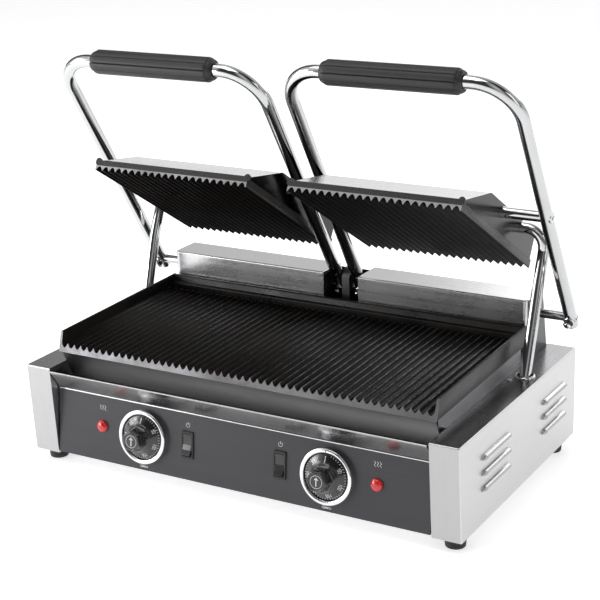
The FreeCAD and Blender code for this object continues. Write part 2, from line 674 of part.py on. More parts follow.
def handle(s):
    o = new_body("handle")
    xi, xo, top, bend, tail = s * D["arm_inner"], s * D["arm_outer"], D["arm_reach"], D["arm_bend"], D["arm_tail"]
    k = bend * (1 - math.sqrt(0.5))
    path = o.newObject("Sketcher::SketchObject", uid("path"))
    path.AttachmentSupport = [(plane_of(o, "XY_Plane"), "")]
    path.MapMode = "FlatFace"
    geo = [Part.LineSegment(V(xi, -tail, 0), V(xi, top - bend, 0)),
           Part.Arc(V(xi, top - bend, 0), V(xi + s * k, top - k, 0), V(xi + s * bend, top, 0)),
           Part.LineSegment(V(xi + s * bend, top, 0), V(xo - s * bend, top, 0)),
           Part.Arc(V(xo - s * bend, top, 0), V(xo - s * k, top - k, 0), V(xo, top - bend, 0)),
           Part.LineSegment(V(xo, top - bend, 0), V(xo, -tail, 0))]
    path.addGeometry(geo, False)
    ra = D["arm_radius"]
    prof = sketch(o, "XZ_Plane", [("c", xi, 0, ra), ("c", xi, 0, ra - D["arm_wall"])], tail)
    p = o.newObject("PartDesign::AdditivePipe", uid("pipe"))
    p.Profile = prof
    p.Spine = (path, ["Edge%d" % (q + 1) for q in range(5)])
    doc.recompute()
    for xx in (xi, xo):
        cap = sketch(o, "XZ_Plane", [[(xx, 0)] * 0 or [(xx + ra * math.cos(math.radians(a)), ra * math.sin(math.radians(a))) for a in range(0, 360, 15)]], tail)
        f = o.newObject("PartDesign::Pad", uid("plug"))
        f.Profile = cap
        f.Length = 2.2
        doc.recompute()
    pocket(o, "YZ_Plane", [("c", 0, 0, D["shaft_radius"] + 0.03), ("c", RL, 0, D["rod_radius"] + 0.03)], -310 if s < 0 else 0, 0 if s < 0 else 310)
    return o


def grip(s):
    o = new_body("grip")
    xa, xb = (D["grip_start"], D["grip_end"]) if s > 0 else (-D["grip_end"], -D["grip_start"])
    R = D["grip_outer"]
    pts = []
    N = 10
    for k in range(N):
        a0_ = 2 * math.pi * k / N
        for (fa, fr) in ((-0.36, 0.985), (-0.18, 1.0), (0.0, 1.004), (0.18, 1.0), (0.36, 0.985), (0.44, 0.93), (0.5, 0.91), (0.56, 0.93)):
            a = a0_ + fa * 2 * math.pi / N
            pts.append((D["arm_reach"] + R * fr * math.cos(a), R * fr * math.sin(a)))
    pad(o, "YZ_Plane", [pts, ("c", D["arm_reach"], 0, D["arm_radius"] + 0.04)], xa + 5, xb - 5)
    for (x1, x2, r1, r2) in ((xa, xa + 5, 11.2, 13.0), (xb - 5, xb, 13.0, 11.2)):
        sk = sketch(o, "YZ_Plane", [("c", D["arm_reach"], 0, r1), ("c", D["arm_reach"], 0, D["arm_radius"] + 0.04)], x1)
        sk2 = sketch(o, "YZ_Plane", [("c", D["arm_reach"], 0, r2), ("c", D["arm_reach"], 0, D["arm_radius"] + 0.04)], x2)
        f = o.newObject("PartDesign::AdditiveLoft", uid("loft"))
        f.Profile = sk
        f.Sections = [sk2]
        doc.recompute()
    return o


def bolt(x):
    o = new_body("bolt")
    hexa = [(5.6 * math.cos(math.radians(60 * k)), 5.6 * math.sin(math.radians(60 * k))) for k in range(6)]
    pad(o, "XY_Plane", [("c", 0, 0, 6.4)], 7.78, 9.0)
    pad(o, "XY_Plane", [hexa], 9.0, 13.4)
    f = pad(o, "XY_Plane", [("c", 0, 0, 4.4)], 13.4, 15.6)
    fillet(o, f, lambda e: near(mid(e).z, 15.6), 2.0)
    o.Placement = PL(V(x, 0, 0), Rot())
    return o


def rod(s):
    o = new_body("rod")
    xa, xb = (D["arm_inner"] - 7.2, D["arm_outer"] + 7.6) if s > 0 else (-D["arm_outer"] - 7.6, -D["arm_inner"] + 7.2)
    f = pad(o, "YZ_Plane", [("c", RL, 0, D["rod_radius"])], xa, xb)
    chamfer(o, f, lambda e: near(mid(e).x, xa) or near(mid(e).x, xb), 0.8)
    return o


def shaft(s):
    o = new_body("shaft")
    xa, xb = (0.6, D["arm_outer"] + 7.4) if s > 0 else (-D["arm_outer"] - 7.4, -0.6)
    pad(o, "YZ_Plane", [("c", 0, 0, D["shaft_radius"])], xa, xb)
    return o


def spring(s):
    # torsion spring wound round the shaft inside the rear housing
    rr, wire, pitch, turns = 10.6, 1.3, 4.6, 11
    hel = Part.makeHelix(pitch, pitch * turns, rr)
    prof = Part.Wire([Part.makeCircle(wire, V(rr, 0, 0), V(0, 1, 0))])
    coil = Part.Wire(hel.Edges).makePipeShell([prof], True, True)
    o = doc.addObject("Part::Feature", uid("spring"))
    o.Shape = coil
    x = s * 120.0 if s > 0 else s * 120.0 - pitch * turns
    o.Placement = PL(V(x, SYC, SZC), Rot(V(0, 0, 1), XAX))
    return o


U0 = D["upper_inner"]
UW = D["upper_width"]
UD = D["upper_depth"]
CH = D["cover_height"]
RA, RU = D["rod_along"], D["rod_up"]
CU, CW = 177.4, 35.6


def upper_plate(s):
    o = new_body("uplate")
    xa, xb = (U0, U0 + UW) if s > 0 else (-U0 - UW, -U0)
    n_ = 22
    pt = (UW - 1.6) / n_
    row_ = scallop(xa + 0.8, n_, pt, 0.0, 5.2)
    out = [(xa, 0.6)] + row_ + [(xb, 0.6), (xb, 11.0), (xa, 11.0)]
    pad(o, "XZ_Plane", [out], 0, UD, "dims.upper_depth")
    # front rim standing above the casting, and small corner lugs
    f = pad(o, "XY_Plane", [[(xa, 0), (xb, 0), (xb, 3.0), (xa, 3.0)]], 10.0, 13.4)
    for xc in (xa + 1.5, xb - 1.5):
        pad(o, "XZ_Plane", [[(xc - 3.6, 8.0), (xc + 3.6, 8.0), (xc + 3.9, 10.0), (xc + 3.9, 12.8), (xc + 2.9, 14.9), (xc + 1.2, 16.0), (xc - 1.2, 16.0), (xc - 2.9, 14.9), (xc - 3.9, 12.8), (xc - 3.9, 10.0)]], 0.3, 3.2)
    # clearance recess on top for the heating element
    pocket(o, "XY_Plane", [[(xa + 12, 20), (xb - 12, 20), (xb - 12, 200), (xa + 12, 200)]], 9.6, 12)
    return o


SLOPE = [(3.5, 11.2), (3.5, 14.2), (9.2, 15.4), (73.0, CH), (226.4, CH), (226.4, 11.2)]


def side_caps(s):
    caps = []
    for (x1, x2, wired) in ((U0 + 1.0, U0 + 2.2, False), (U0 + UW - 2.2, U0 + UW - 1.0, True)):
        o = new_body("cap")
        xa, xb = (x1, x2) if s > 0 else (-x2, -x1)
        loops = [SLOPE, ("c", RA, RU, D["rod_radius"] + 0.35)]
        if wired:
            loops.append(("c", CU, CW, D["conduit_radius"] + 0.1))
        pad(o, "YZ_Plane", loops, xa, xb, "dims.sheet_metal")
        caps.append(o)
    return group(caps)


def cover(s):
    o = new_body("cover")
    xa, xb = (U0 + 2.3, U0 + UW - 2.3) if s > 0 else (-U0 - UW + 2.3, -U0 - 2.3)
    inner_line = [(225.2, 11.2), (225.2, CH - T), (73.3, CH - T), (9.0, 14.1), (4.7, 13.2), (4.7, 11.2)]
    f = pad(o, "YZ_Plane", [SLOPE + inner_line], xa, xb)
    f = fillet(o, f, lambda e: along(e, XAX) and near(mid(e).y, 73.0) and near(mid(e).z, CH), 3.0)
    return o


def upper_heater(s):
    a_, c_ = (U0 + 22, U0 + UW - 22) if s > 0 else (-U0 - UW + 22, -U0 - 22)
    return hairpin(a_, c_, 34, 178, 3.0, 13.2)


def conduit(s):
    # chrome tube: out of the end cap, round a close bend, down along the path of the deck hole
    R33 = Rot(XAX, TILT[s])

    def to_local(p):
        v = R33.multVec(V(0, p[0] - ROD0[s][0], p[1] - ROD0[s][1]))
        return (v.y + RA, v.z + RU)
    X = s * D["conduit_side"]
    end = passing_point(s, 1.02)
    h0 = to_local(passing_point(s, -0.05))
    h1 = to_local(passing_point(s, 0.5))
    h2 = to_local(end)
    h3 = to_local((end[0] + 16.2, end[1] + 39.5))
    P0 = V(s * 233.0, CU, CW)
    xk = X
    # corner of the close bend in the plane of the leg
    corner = V(xk, CU, CW)
    rad = 21.0
    leg = V(0, h3[0] - corner.y, h3[1] - corner.z)
    leg.normalize()
    Pa = corner + V(-s * rad, 0, 0)
    Pb = corner + leg * rad
    cen = corner + V(-s * rad, 0, 0) + leg * rad
    m = corner - cen
    m.normalize()
    Pm = cen + m * rad
    e1 = Part.LineSegment(P0, Pa).toShape()
    e2 = Part.Arc(Pa, Pm, Pb).toShape()
    B3 = V(X, h3[0], h3[1])
    B2 = V(X, h2[0], h2[1])
    B1 = V(X, h1[0], h1[1])
    B0 = V(X, h0[0], h0[1])
    low = Part.Arc(B2, B1, B0)
    tan = low.tangent(low.FirstParameter)[0]
    # line up the short run to the lower arc with one blending arc
    sp = Part.BSplineCurve()
    sp.interpolate([Pb, B3, B2], InitialTangent=leg, FinalTangent=tan)
    e3 = sp.toShape()
    e4 = low.toShape()
    wire = Part.Wire([e1, e2, e3, e4])
    prof = Part.Wire([Part.makeCircle(D["conduit_radius"], P0, V(1, 0, 0))])
    bore = Part.Wire([Part.makeCircle(D["conduit_radius"] - 1.2, P0, V(1, 0, 0))])
    solid = wire.makePipeShell([prof], True, False)
    hole = wire.makePipeShell([bore], True, False)
    o = doc.addObject("Part::Feature", uid("conduit"))
    o.Shape = solid.cut(hole)
    return o


for s, nm in ((-1, "left"), (1, "right")):
    keep(handle(s), "handle_tube_" + nm, ARM[s])
    keep(grip(s), "handle_grip_" + nm, ARM[s])
    keep(shaft(s), "lid_shaft_" + nm, ARM[s])
    keep(group([bolt(s * D["arm_inner"]), bolt(s * D["arm_outer"])]), "clamp_bolts_" + nm, ARM[s])
    keep(rod(s), "pivot_rod_" + nm, ARM[s])
    keep(spring(s), "counterbalance_spring_" + nm)
    keep(upper_plate(s), "upper_grill_plate_" + nm, UPPER[s])
    keep(side_caps(s), "upper_side_caps_" + nm, UPPER[s])
    keep(cover(s), "upper_cover_" + nm, UPPER[s])
    keep(upper_heater(s), "upper_heater_" + nm, UPPER[s])
    ib = pbox(min(s * (U0 + 14), s * (U0 + UW - 14)), 38, 17.0, UW - 28, 178, 5.6)
    keep(ib, "upper_insulation_" + nm, UPPER[s])
    keep(conduit(s), "conduit_tube_" + nm, UPPER[s])

doc.recompute()

# ------------------------------------------------------------------
# checks and export
# ------------------------------------------------------------------
for ob in doc.Objects:
    if "Invalid" in ob.State or "Error" in ob.State:
        raise RuntimeError("failed object " + ob.Name + " " + ob.Label)
names = set()
for label, ob in PIECES:
    if label in names:
        raise RuntimeError("duplicate " + label)
    names.add(label)
    sh = ob.Shape
    if sh.isNull() or not sh.isValid() or not sh.Solids:
        raise RuntimeError("bad shape " + label)

os.makedirs("parts", exist_ok=True)
for label, ob in PIECES:
    ob.Shape.exportStep(os.path.join("parts", label + ".step"))
print("pieces", len(PIECES))
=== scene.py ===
import bpy
import bmesh
import json
import math
from mathutils import Vector, Matrix


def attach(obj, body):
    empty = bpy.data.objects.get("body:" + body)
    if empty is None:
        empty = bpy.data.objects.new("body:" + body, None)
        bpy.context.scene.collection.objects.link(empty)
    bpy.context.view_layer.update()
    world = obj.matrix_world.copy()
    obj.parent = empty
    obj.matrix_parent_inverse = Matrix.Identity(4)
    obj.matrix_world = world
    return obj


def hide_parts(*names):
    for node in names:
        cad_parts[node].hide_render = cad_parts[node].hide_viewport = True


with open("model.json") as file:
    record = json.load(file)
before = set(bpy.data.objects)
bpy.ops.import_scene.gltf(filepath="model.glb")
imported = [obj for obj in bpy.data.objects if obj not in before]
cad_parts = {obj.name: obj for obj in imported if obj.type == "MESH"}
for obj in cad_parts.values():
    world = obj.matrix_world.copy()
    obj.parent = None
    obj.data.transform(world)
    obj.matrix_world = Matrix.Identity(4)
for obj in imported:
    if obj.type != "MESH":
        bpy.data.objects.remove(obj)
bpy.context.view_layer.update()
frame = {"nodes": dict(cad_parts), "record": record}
NODES = frame["nodes"]
BODY = {n: b for b, ns in frame["record"]["behaviour"]["bodies"].items() for n in ns}
scene = bpy.context.scene
SIDES = ((-1, "left"), (1, "right"))

# ------------------------------------------------------------------
# local frames of the object, built from millimetres
# ------------------------------------------------------------------
MM = Matrix.Scale(0.001, 4)


def T(x, y, z):
    return Matrix.Translation((x, y, z))


def RX(a):
    return Matrix.Rotation(math.radians(a), 4, "X")


def RY(a):
    return Matrix.Rotation(math.radians(a), 4, "Y")


def RZ(a):
    return Matrix.Rotation(math.radians(a), 4, "Z")


SETB = 165.763
BASE = T(0, -SETB, 0)
PANEL = BASE @ T(0, 5.9, 17.4) @ RX(90 - 6.36)
LOWER = BASE @ T(0, 20.0, 141.5) @ RX(1.2)
ARM_ANGLE = {"left": 57.8, "right": 59.4}
TILT = {"left": 32.2, "right": 31.05}
SY, SZ = 299.0, 177.5
ROD = 165.78
ARM, UPPER, RODYZ = {}, {}, {}
for s, nm in SIDES:
    a = math.radians(ARM_ANGLE[nm])
    ARM[nm] = BASE @ T(0, SY, SZ) @ RX(180 - ARM_ANGLE[nm])
    RODYZ[nm] = (SY - ROD * math.cos(a), SZ + ROD * math.sin(a))
    UPPER[nm] = BASE @ T(0, RODYZ[nm][0], RODYZ[nm][1]) @ RX(-TILT[nm]) @ T(0, -110.4, -33.3)


# ------------------------------------------------------------------
# node helpers for procedural materials
# ------------------------------------------------------------------
def new_mat(name):
    m = bpy.data.materials.new(name)
    m.use_nodes = True
    nt = m.node_tree
    nt.nodes.clear()
    out = nt.nodes.new("ShaderNodeOutputMaterial")
    b = nt.nodes.new("ShaderNodeBsdfPrincipled")
    nt.links.new(b.outputs[0], out.inputs[0])
    return m, nt, b


def coords(nt, scale=(1, 1, 1), rot=(0, 0, 0)):
    tc = nt.nodes.new("ShaderNodeTexCoord")
    mp = nt.nodes.new("ShaderNodeMapping")
    mp.inputs["Scale"].default_value = scale
    mp.inputs["Rotation"].default_value = [math.radians(r) for r in rot]
    nt.links.new(tc.outputs["Object"], mp.inputs["Vector"])
    return mp.outputs[0]


def noise(nt, scale=(1, 1, 1), detail=4.0, rough=0.55, distort=0.0, rot=(0, 0, 0)):
    n = nt.nodes.new("ShaderNodeTexNoise")
    n.inputs["Scale"].default_value = 1.0
    n.inputs["Detail"].default_value = detail
    n.inputs["Roughness"].default_value = rough
    n.inputs["Distortion"].default_value = distort
    nt.links.new(coords(nt, scale, rot), n.inputs["Vector"])
    return n.outputs[0]


def ramp(nt, src, lo, hi, a=0.0, b=1.0):
    r = nt.nodes.new("ShaderNodeMapRange")
    r.inputs["From Min"].default_value = lo
    r.inputs["From Max"].default_value = hi
    r.inputs["To Min"].default_value = a
    r.inputs["To Max"].default_value = b
    nt.links.new(src, r.inputs["Value"])
    return r.outputs[0]


def math_node(nt, op, a, b):
    n = nt.nodes.new("ShaderNodeMath")
    n.operation = op
    for i, v in enumerate((a, b)):
        if isinstance(v, (int, float)):
            n.inputs[i].default_value = v
        else:
            nt.links.new(v, n.inputs[i])
    return n.outputs[0]


def mix_col(nt, fac, c1, c2):
    n = nt.nodes.new("ShaderNodeMix")
    n.data_type = "RGBA"
    nt.links.new(fac, n.inputs[0])
    for sock, c in ((n.inputs[6], c1), (n.inputs[7], c2)):
        if isinstance(c, tuple):
            sock.default_value = (c[0], c[1], c[2], 1)
        else:
            nt.links.new(c, sock)
    return n.outputs[2]


def bump(nt, b, height, strength, dist):
    n = nt.nodes.new("ShaderNodeBump")
    n.inputs["Strength"].default_value = strength
    n.inputs["Distance"].default_value = dist
    nt.links.new(height, n.inputs["Height"])
    nt.links.new(n.outputs[0], b.inputs["Normal"])
    return n


def brushed(name, col, rough, grain, bump_s=0.25, spread=0.10, smudge=0.05, metallic=1.0, tint=0.06):
    # sheet with a fine directional grain, faint handling marks and slightly uneven tone
    m, nt, b = new_mat(name)
    g = noise(nt, grain, 3.0, 0.6)
    g2 = noise(nt, tuple(v * 0.31 for v in grain), 2.0, 0.5)
    cl = noise(nt, (9, 9, 9), 4.0, 0.6, 0.4)
    both = math_node(nt, "ADD", math_node(nt, "MULTIPLY", g, 0.6), math_node(nt, "MULTIPLY", g2, 0.4))
    dark = tuple(c * (1 - tint) for c in col)
    light = tuple(min(1.0, c * (1 + tint)) for c in col)
    nt.links.new(mix_col(nt, ramp(nt, both, 0.32, 0.68), dark, light), b.inputs["Base Color"])
    r = math_node(nt, "ADD", ramp(nt, both, 0.3, 0.7, rough - spread / 2, rough + spread / 2), ramp(nt, cl, 0.35, 0.75, -smudge, smudge))
    nt.links.new(r, b.inputs["Roughness"])
    b.inputs["Metallic"].default_value = metallic
    bump(nt, b, both, bump_s, 0.00006)
    return m


def polished(name, col, rough=0.07, smudge=0.05):
    m, nt, b = new_mat(name)
    cl = noise(nt, (26, 26, 26), 5.0, 0.6, 0.5)
    fine = noise(nt, (900, 900, 900), 2.0, 0.5)
    nt.links.new(mix_col(nt, ramp(nt, cl, 0.4, 0.7), tuple(c * 0.95 for c in col), col), b.inputs["Base Color"])
    nt.links.new(ramp(nt, cl, 0.42, 0.74, rough, rough + smudge), b.inputs["Roughness"])
    b.inputs["Metallic"].default_value = 1.0
    bump(nt, b, fine, 0.03, 0.00003)
    return m


def plastic(name, col, rough, grain=1400.0, bump_s=0.12, spec=0.5, coat=0.0, var=0.18):
    m, nt, b = new_mat(name)
    cl = noise(nt, (40, 40, 40), 4.0, 0.6, 0.3)
    fine = noise(nt, (grain, grain, grain), 2.0, 0.5)
    nt.links.new(mix_col(nt, ramp(nt, cl, 0.35, 0.7), tuple(c * (1 - var) for c in col), tuple(min(1, c * (1 + var)) for c in col)), b.inputs["Base Color"])
    nt.links.new(ramp(nt, cl, 0.35, 0.75, rough - 0.04, rough + 0.05), b.inputs["Roughness"])
    b.inputs["Specular IOR Level"].default_value = spec
    if coat:
        b.inputs["Coat Weight"].default_value = coat
        b.inputs["Coat Roughness"].default_value = 0.08
    bump(nt, b, fine, bump_s, 0.00008)
    return m


def casting(name, col, brown, rough, metallic=0.0, bump_s=0.5, spec=0.5, grit=620.0):
    # seasoned cast surface: pitted skin, oil sheen in patches, brownish staining
    m, nt, b = new_mat(name)
    big = noise(nt, (14, 9, 14), 5.0, 0.62, 0.6)
    grain = noise(nt, (grit, grit, grit), 3.0, 0.6)
    mid = noise(nt, (160, 160, 160), 3.0, 0.55)
    nt.links.new(mix_col(nt, ramp(nt, big, 0.42, 0.68), col, brown), b.inputs["Base Color"])
    r = math_node(nt, "ADD", ramp(nt, grain, 0.3, 0.7, rough - 0.09, rough + 0.09), ramp(nt, big, 0.35, 0.7, -0.08, 0.10))
    nt.links.new(r, b.inputs["Roughness"])
    b.inputs["Metallic"].default_value = metallic
    b.inputs["Specular IOR Level"].default_value = spec
    h = math_node(nt, "ADD", math_node(nt, "MULTIPLY", grain, 0.6), math_node(nt, "MULTIPLY", mid, 0.4))
    bump(nt, b, h, bump_s, 0.00025)
    return m


def rib_tip_wear_and_painted_sheen():
    # crests: oily brown staining and flecked wear, with a painted sheen that turns the crests grey toward +X
    m, nt, b = new_mat("rib_tip_wear_and_painted_sheen")
    tc_ = nt.nodes.new("ShaderNodeTexCoord")
    sp_ = nt.nodes.new("ShaderNodeSeparateXYZ")
    nt.links.new(tc_.outputs["Object"], sp_.inputs[0])
    big = noise(nt, (7, 5, 7), 3.0, 0.6, 0.5)
    fleck = noise(nt, (260, 120, 260), 4.0, 0.7)
    # painted sheen: the grey grows with object X as a light gradient across the plate, broken up by noise
    w = math_node(nt, "ADD", ramp(nt, sp_.outputs["X"], -0.10, 0.22), ramp(nt, big, 0.3, 0.7, -0.35, 0.35))
    w = math_node(nt, "MULTIPLY", ramp(nt, w, 0.25, 0.95), ramp(nt, fleck, 0.36, 0.62, 0.15, 1.0))
    nt.links.new(mix_col(nt, w, (0.024, 0.0165, 0.0115), (0.48, 0.48, 0.49)), b.inputs["Base Color"])
    nt.links.new(ramp(nt, fleck, 0.3, 0.7, 0.30, 0.48), b.inputs["Roughness"])
    b.inputs["Metallic"].default_value = 0.75
    grain = noise(nt, (900, 500, 900), 3.0, 0.6)
    bump(nt, b, grain, 0.35, 0.0002)
    return m


M = {}
M["steel_y"] = brushed("steel_grain_y", (0.62, 0.62, 0.63), 0.30, (900, 9, 900))
M["steel_x"] = brushed("steel_grain_x", (0.58, 0.58, 0.59), 0.29, (3, 520, 520), 0.022, 0.05, 0.03, 1.0, 0.03)
M["steel_z"] = brushed("steel_grain_z", (0.64, 0.64, 0.65), 0.30, (900, 900, 9))
# painted shade: the tray and apron steel are toned far darker than the housing steel, standing in for their dark
# reflections
M["tray"] = brushed("tray_steel_painted_shade", (0.36, 0.36, 0.36), 0.19, (3, 520, 520), 0.02, 0.04, 0.03, 1.0, 0.03)
M["apron"] = brushed("apron_steel_painted_shade", (0.32, 0.32, 0.322), 0.36, (3, 520, 520), 0.022, 0.05, 0.03, 1.0, 0.03)
M["cover"] = brushed("cover_steel", (0.76, 0.76, 0.77), 0.26, (3, 520, 520), 0.022, 0.05, 0.03, 1.0, 0.03)
M["cap"] = brushed("cap_steel", (0.034, 0.034, 0.036), 0.20, (900, 8, 900), 0.08, 0.08)
M["inner"] = brushed("inner_steel", (0.42, 0.42, 0.43), 0.42, (300, 300, 300))
M["chrome"] = polished("chrome_tube", (0.60, 0.605, 0.61), 0.07)
M["bright"] = polished("bright_steel", (0.78, 0.78, 0.79), 0.14, 0.08)
M["black_steel"] = plastic("black_enamelled_steel", (0.012, 0.012, 0.013), 0.34, 900, 0.2)
M["panel"] = brushed("panel_grey", (0.033, 0.033, 0.039), 0.38, (3, 520, 520), 0.02, 0.05, 0.04, 0.15, 0.10)
M["cast"] = casting("black_cast", (0.0065, 0.0062, 0.0060), (0.014, 0.0095, 0.0070), 0.34, 0.0, 0.35, 0.32)
M["cut"] = casting("cut_edge", (0.16, 0.16, 0.168), (0.10, 0.098, 0.098), 0.40, 0.75, 0.3, 0.5, 900)
M["grip"] = plastic("grip_rubber", (0.013, 0.013, 0.014), 0.52, 1300, 0.25)
M["knob"] = plastic("knob_black", (0.010, 0.010, 0.011), 0.20, 1500, 0.05, 0.5, 0.5)
M["switch"] = plastic("switch_black", (0.011, 0.011, 0.012), 0.30, 1500, 0.08)
M["rubber"] = plastic("foot_rubber", (0.012, 0.012, 0.013), 0.60, 700, 0.35)
M["mark"] = plastic("white_marking", (0.70, 0.70, 0.71), 0.45, 2500, 0.05, 0.4, 0.0, 0.05)
M["element"] = casting("heater_sheath", (0.10, 0.09, 0.085), (0.16, 0.10, 0.07), 0.45, 0.8, 0.2)
M["wool"] = plastic("insulation_board", (0.55, 0.52, 0.46), 0.85, 300, 0.7, 0.2)
M["brass"] = polished("brass_spindle", (0.78, 0.56, 0.28), 0.20)
M["ceramic"] = plastic("white_ceramic", (0.75, 0.74, 0.70), 0.25, 900, 0.05, 0.5, 0.3, 0.04)
M["spring"] = polished("spring_steel", (0.40, 0.40, 0.42), 0.28)

m, nt, b = new_mat("lamp_red")
g = noise(nt, (120, 120, 120), 2.0, 0.5)
nt.links.new(mix_col(nt, ramp(nt, g, 0.35, 0.7), (0.50, 0.008, 0.010), (0.78, 0.020, 0.020)), b.inputs["Base Color"])
nt.links.new(ramp(nt, g, 0.3, 0.7, 0.12, 0.20), b.inputs["Roughness"])
b.inputs["Subsurface Weight"].default_value = 0.25
b.inputs["Subsurface Radius"].default_value = (0.004, 0.0008, 0.0008)
b.inputs["Coat Weight"].default_value = 0.6
b.inputs["Coat Roughness"].default_value = 0.05
M["lamp"] = m


M["ring"] = polished("dial_ring_chrome", (0.80, 0.80, 0.81), 0.16, 0.06)
M["shaft"] = polished("shaft_steel", (0.50, 0.50, 0.51), 0.12, 0.08)
M["bolt"] = polished("dark_bolt", (0.09, 0.09, 0.095), 0.24, 0.1)
M["rocker"] = plastic("rocker_black", (0.012, 0.012, 0.013), 0.22, 1500, 0.05, 0.5, 0.4)
M["cast_up"] = casting("black_cast_upper", (0.0060, 0.0058, 0.0056), (0.011, 0.0085, 0.0070), 0.40, 0.0, 0.35, 0.16)
M["cast_side"] = casting("cast_side_satin", (0.034, 0.034, 0.036), (0.026, 0.025, 0.024), 0.34, 0.35, 0.3)
# crest finish: oily staining plus a painted sheen, grey toward +X
M["tip"] = rib_tip_wear_and_painted_sheen()
M["cut_up"] = casting("cut_edge_upper", (0.34, 0.34, 0.35), (0.22, 0.215, 0.215), 0.42, 0.75, 0.3, 0.5, 900)
# painted highlight: a bright polished tone on the rib ends and the last crest stretch makes the glints
M["glint"] = polished("rib_end_painted_glint", (0.55, 0.55, 0.56), 0.30, 0.1)
M["cast_up"].node_tree.nodes["Principled BSDF"].inputs["IOR"].default_value = 1.22
M["steel_side"] = brushed("steel_side", (0.60, 0.60, 0.605), 0.34, (560, 3, 560), 0.022, 0.06, 0.03, 1.0, 0.03)
# painted shade: the same housing sheet gets a darker pillar front and a much darker top strip than its side
M["steel_pillar_painted_shade"] = brushed("steel_pillar_painted_shade", (0.46, 0.46, 0.465), 0.36, (560, 560, 3), 0.022, 0.06, 0.03, 1.0, 0.03)
M["steel_strip_painted_shade"] = brushed("steel_strip_painted_shade", (0.22, 0.22, 0.225), 0.28, (520, 3, 520), 0.02, 0.06, 0.05, 1.0, 0.05)
M["end_plate"] = brushed("end_plate", (0.060, 0.062, 0.070), 0.34, (900, 9, 900), 0.06, 0.06, 0.05, 0.6, 0.08)

# ------------------------------------------------------------------
# mesh helpers, local millimetres
# ------------------------------------------------------------------
def finish_mesh(me, smooth=32):
    me.polygons.foreach_set("use_smooth", [True] * len(me.polygons))
    me.set_sharp_from_angle(angle=math.radians(smooth))
    me.update()


def flatten_normals(o, smooth):
    # large faces keep their own direction, only the narrow rounded strips blend
    me = o.data
    me.polygons.foreach_set("use_smooth", [True] * len(me.polygons))
    me.set_sharp_from_angle(angle=math.radians(smooth))
    mod = o.modifiers.new("weighted", "WEIGHTED_NORMAL")
    mod.mode = "FACE_AREA"
    mod.weight = 100
    mod.keep_sharp = True
    dg = bpy.context.evaluated_depsgraph_get()
    me2 = bpy.data.meshes.new_from_object(o.evaluated_get(dg), depsgraph=dg)
    o.modifiers.clear()
    o.data = me2
    bpy.data.meshes.remove(me)


def bevelled(o, width, seg=2, ang=30):
    # rounds the edges and keeps only the resulting mesh
    mod = o.modifiers.new("round", "BEVEL")
    mod.width = width * 0.001
    mod.segments = seg
    mod.limit_method = "ANGLE"
    mod.angle_limit = math.radians(ang)
    mod.harden_normals = False
    mod.miter_outer = "MITER_ARC"
    dg = bpy.context.evaluated_depsgraph_get()
    ev = o.evaluated_get(dg)
    me = bpy.data.meshes.new_from_object(ev, depsgraph=dg)
    old = o.data
    o.modifiers.clear()
    o.data = me
    bpy.data.meshes.remove(old)
    flatten_normals(o, 44)


def piece(name, bm, mats, body, mat4, replaces=(), bevel=0.0, seg=2, ang=30, smooth=32):
    bmesh.ops.remove_doubles(bm, verts=bm.verts, dist=1e-4)
    bmesh.ops.recalc_face_normals(bm, faces=bm.faces)
    me = bpy.data.meshes.new(name)
    bm.to_mesh(me)
    bm.free()
    me.transform(mat4_world(mat4))
    for mm_ in mats:
        me.materials.append(mm_)
    o = bpy.data.objects.new(name, me)
    scene.collection.objects.link(o)
    if bevel:
        bevelled(o, bevel, seg, ang)
    else:
        finish_mesh(o.data, smooth)
    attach(o, body)
    if replaces:
        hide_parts(*replaces)
    return o


def mat4_world(m4):
    # local millimetres -> world metres
    return MM @ m4


def ring_faces(bm, rings, closed_path=False, mi=0, flip=False):
    n = len(rings)
    fs = []
    for i in range(n if closed_path else n - 1):
        a, b2 = rings[i], rings[(i + 1) % n]
        k = len(a)
        for j in range(k):
            q = (a[j], a[(j + 1) % k], b2[(j + 1) % k], b2[j])
            try:
                f = bm.faces.new(q)
                f.material_index = mi
                fs.append(f)
            except ValueError:
                pass
    return fs


def revolve(bm, prof, segs=64, off=Matrix.Identity(4), mi=0, a0=0.0):
    # prof: (r, z) along the axis; ends on the axis close the body
    rings = []
    for (r, z) in prof:
        if r < 1e-6:
            rings.append([bm.verts.new(off @ Vector((0, 0, z)))])
        else:
            rings.append([bm.verts.new(off @ Vector((r * math.cos(a0 + 2 * math.pi * k / segs), r * math.sin(a0 + 2 * math.pi * k / segs), z))) for k in range(segs)])
    for i in range(len(rings) - 1):
        a, b2 = rings[i], rings[i + 1]
        mm_ = mi[i] if isinstance(mi, (list, tuple)) else mi
        for k in range(segs):
            k2 = (k + 1) % segs
            if len(a) == 1 and len(b2) == 1:
                continue
            if len(a) == 1:
                f = bm.faces.new((a[0], b2[k], b2[k2]))
            elif len(b2) == 1:
                f = bm.faces.new((a[k], b2[0], a[k2]))
            else:
                f = bm.faces.new((a[k], b2[k], b2[k2], a[k2]))
            f.material_index = mm_
    return rings


def extrude(bm, loop, a, b, axis="x", mi=0, mi_a=None, mi_b=None, off=Matrix.Identity(4)):
    # loop of 2-D points in the plane normal to axis, extended from a to b
    def pt(u, v, w):
        if axis == "x":
            return Vector((w, u, v))
        if axis == "y":
            return Vector((u, w, v))
        return Vector((u, v, w))
    va = [bm.verts.new(off @ pt(u, v, a)) for (u, v) in loop]
    vb = [bm.verts.new(off @ pt(u, v, b)) for (u, v) in loop]
    n = len(loop)
    for k in range(n):
        f = bm.faces.new((va[k], va[(k + 1) % n], vb[(k + 1) % n], vb[k]))
        f.material_index = mi
    fa = bm.faces.new(va)
    fb = bm.faces.new(vb[::-1])
    fa.material_index = mi if mi_a is None else mi_a
    fb.material_index = mi if mi_b is None else mi_b
    return va, vb


def circle(r, n, a0=0.0):
    return [(r * math.cos(a0 + 2 * math.pi * k / n), r * math.sin(a0 + 2 * math.pi * k / n)) for k in range(n)]


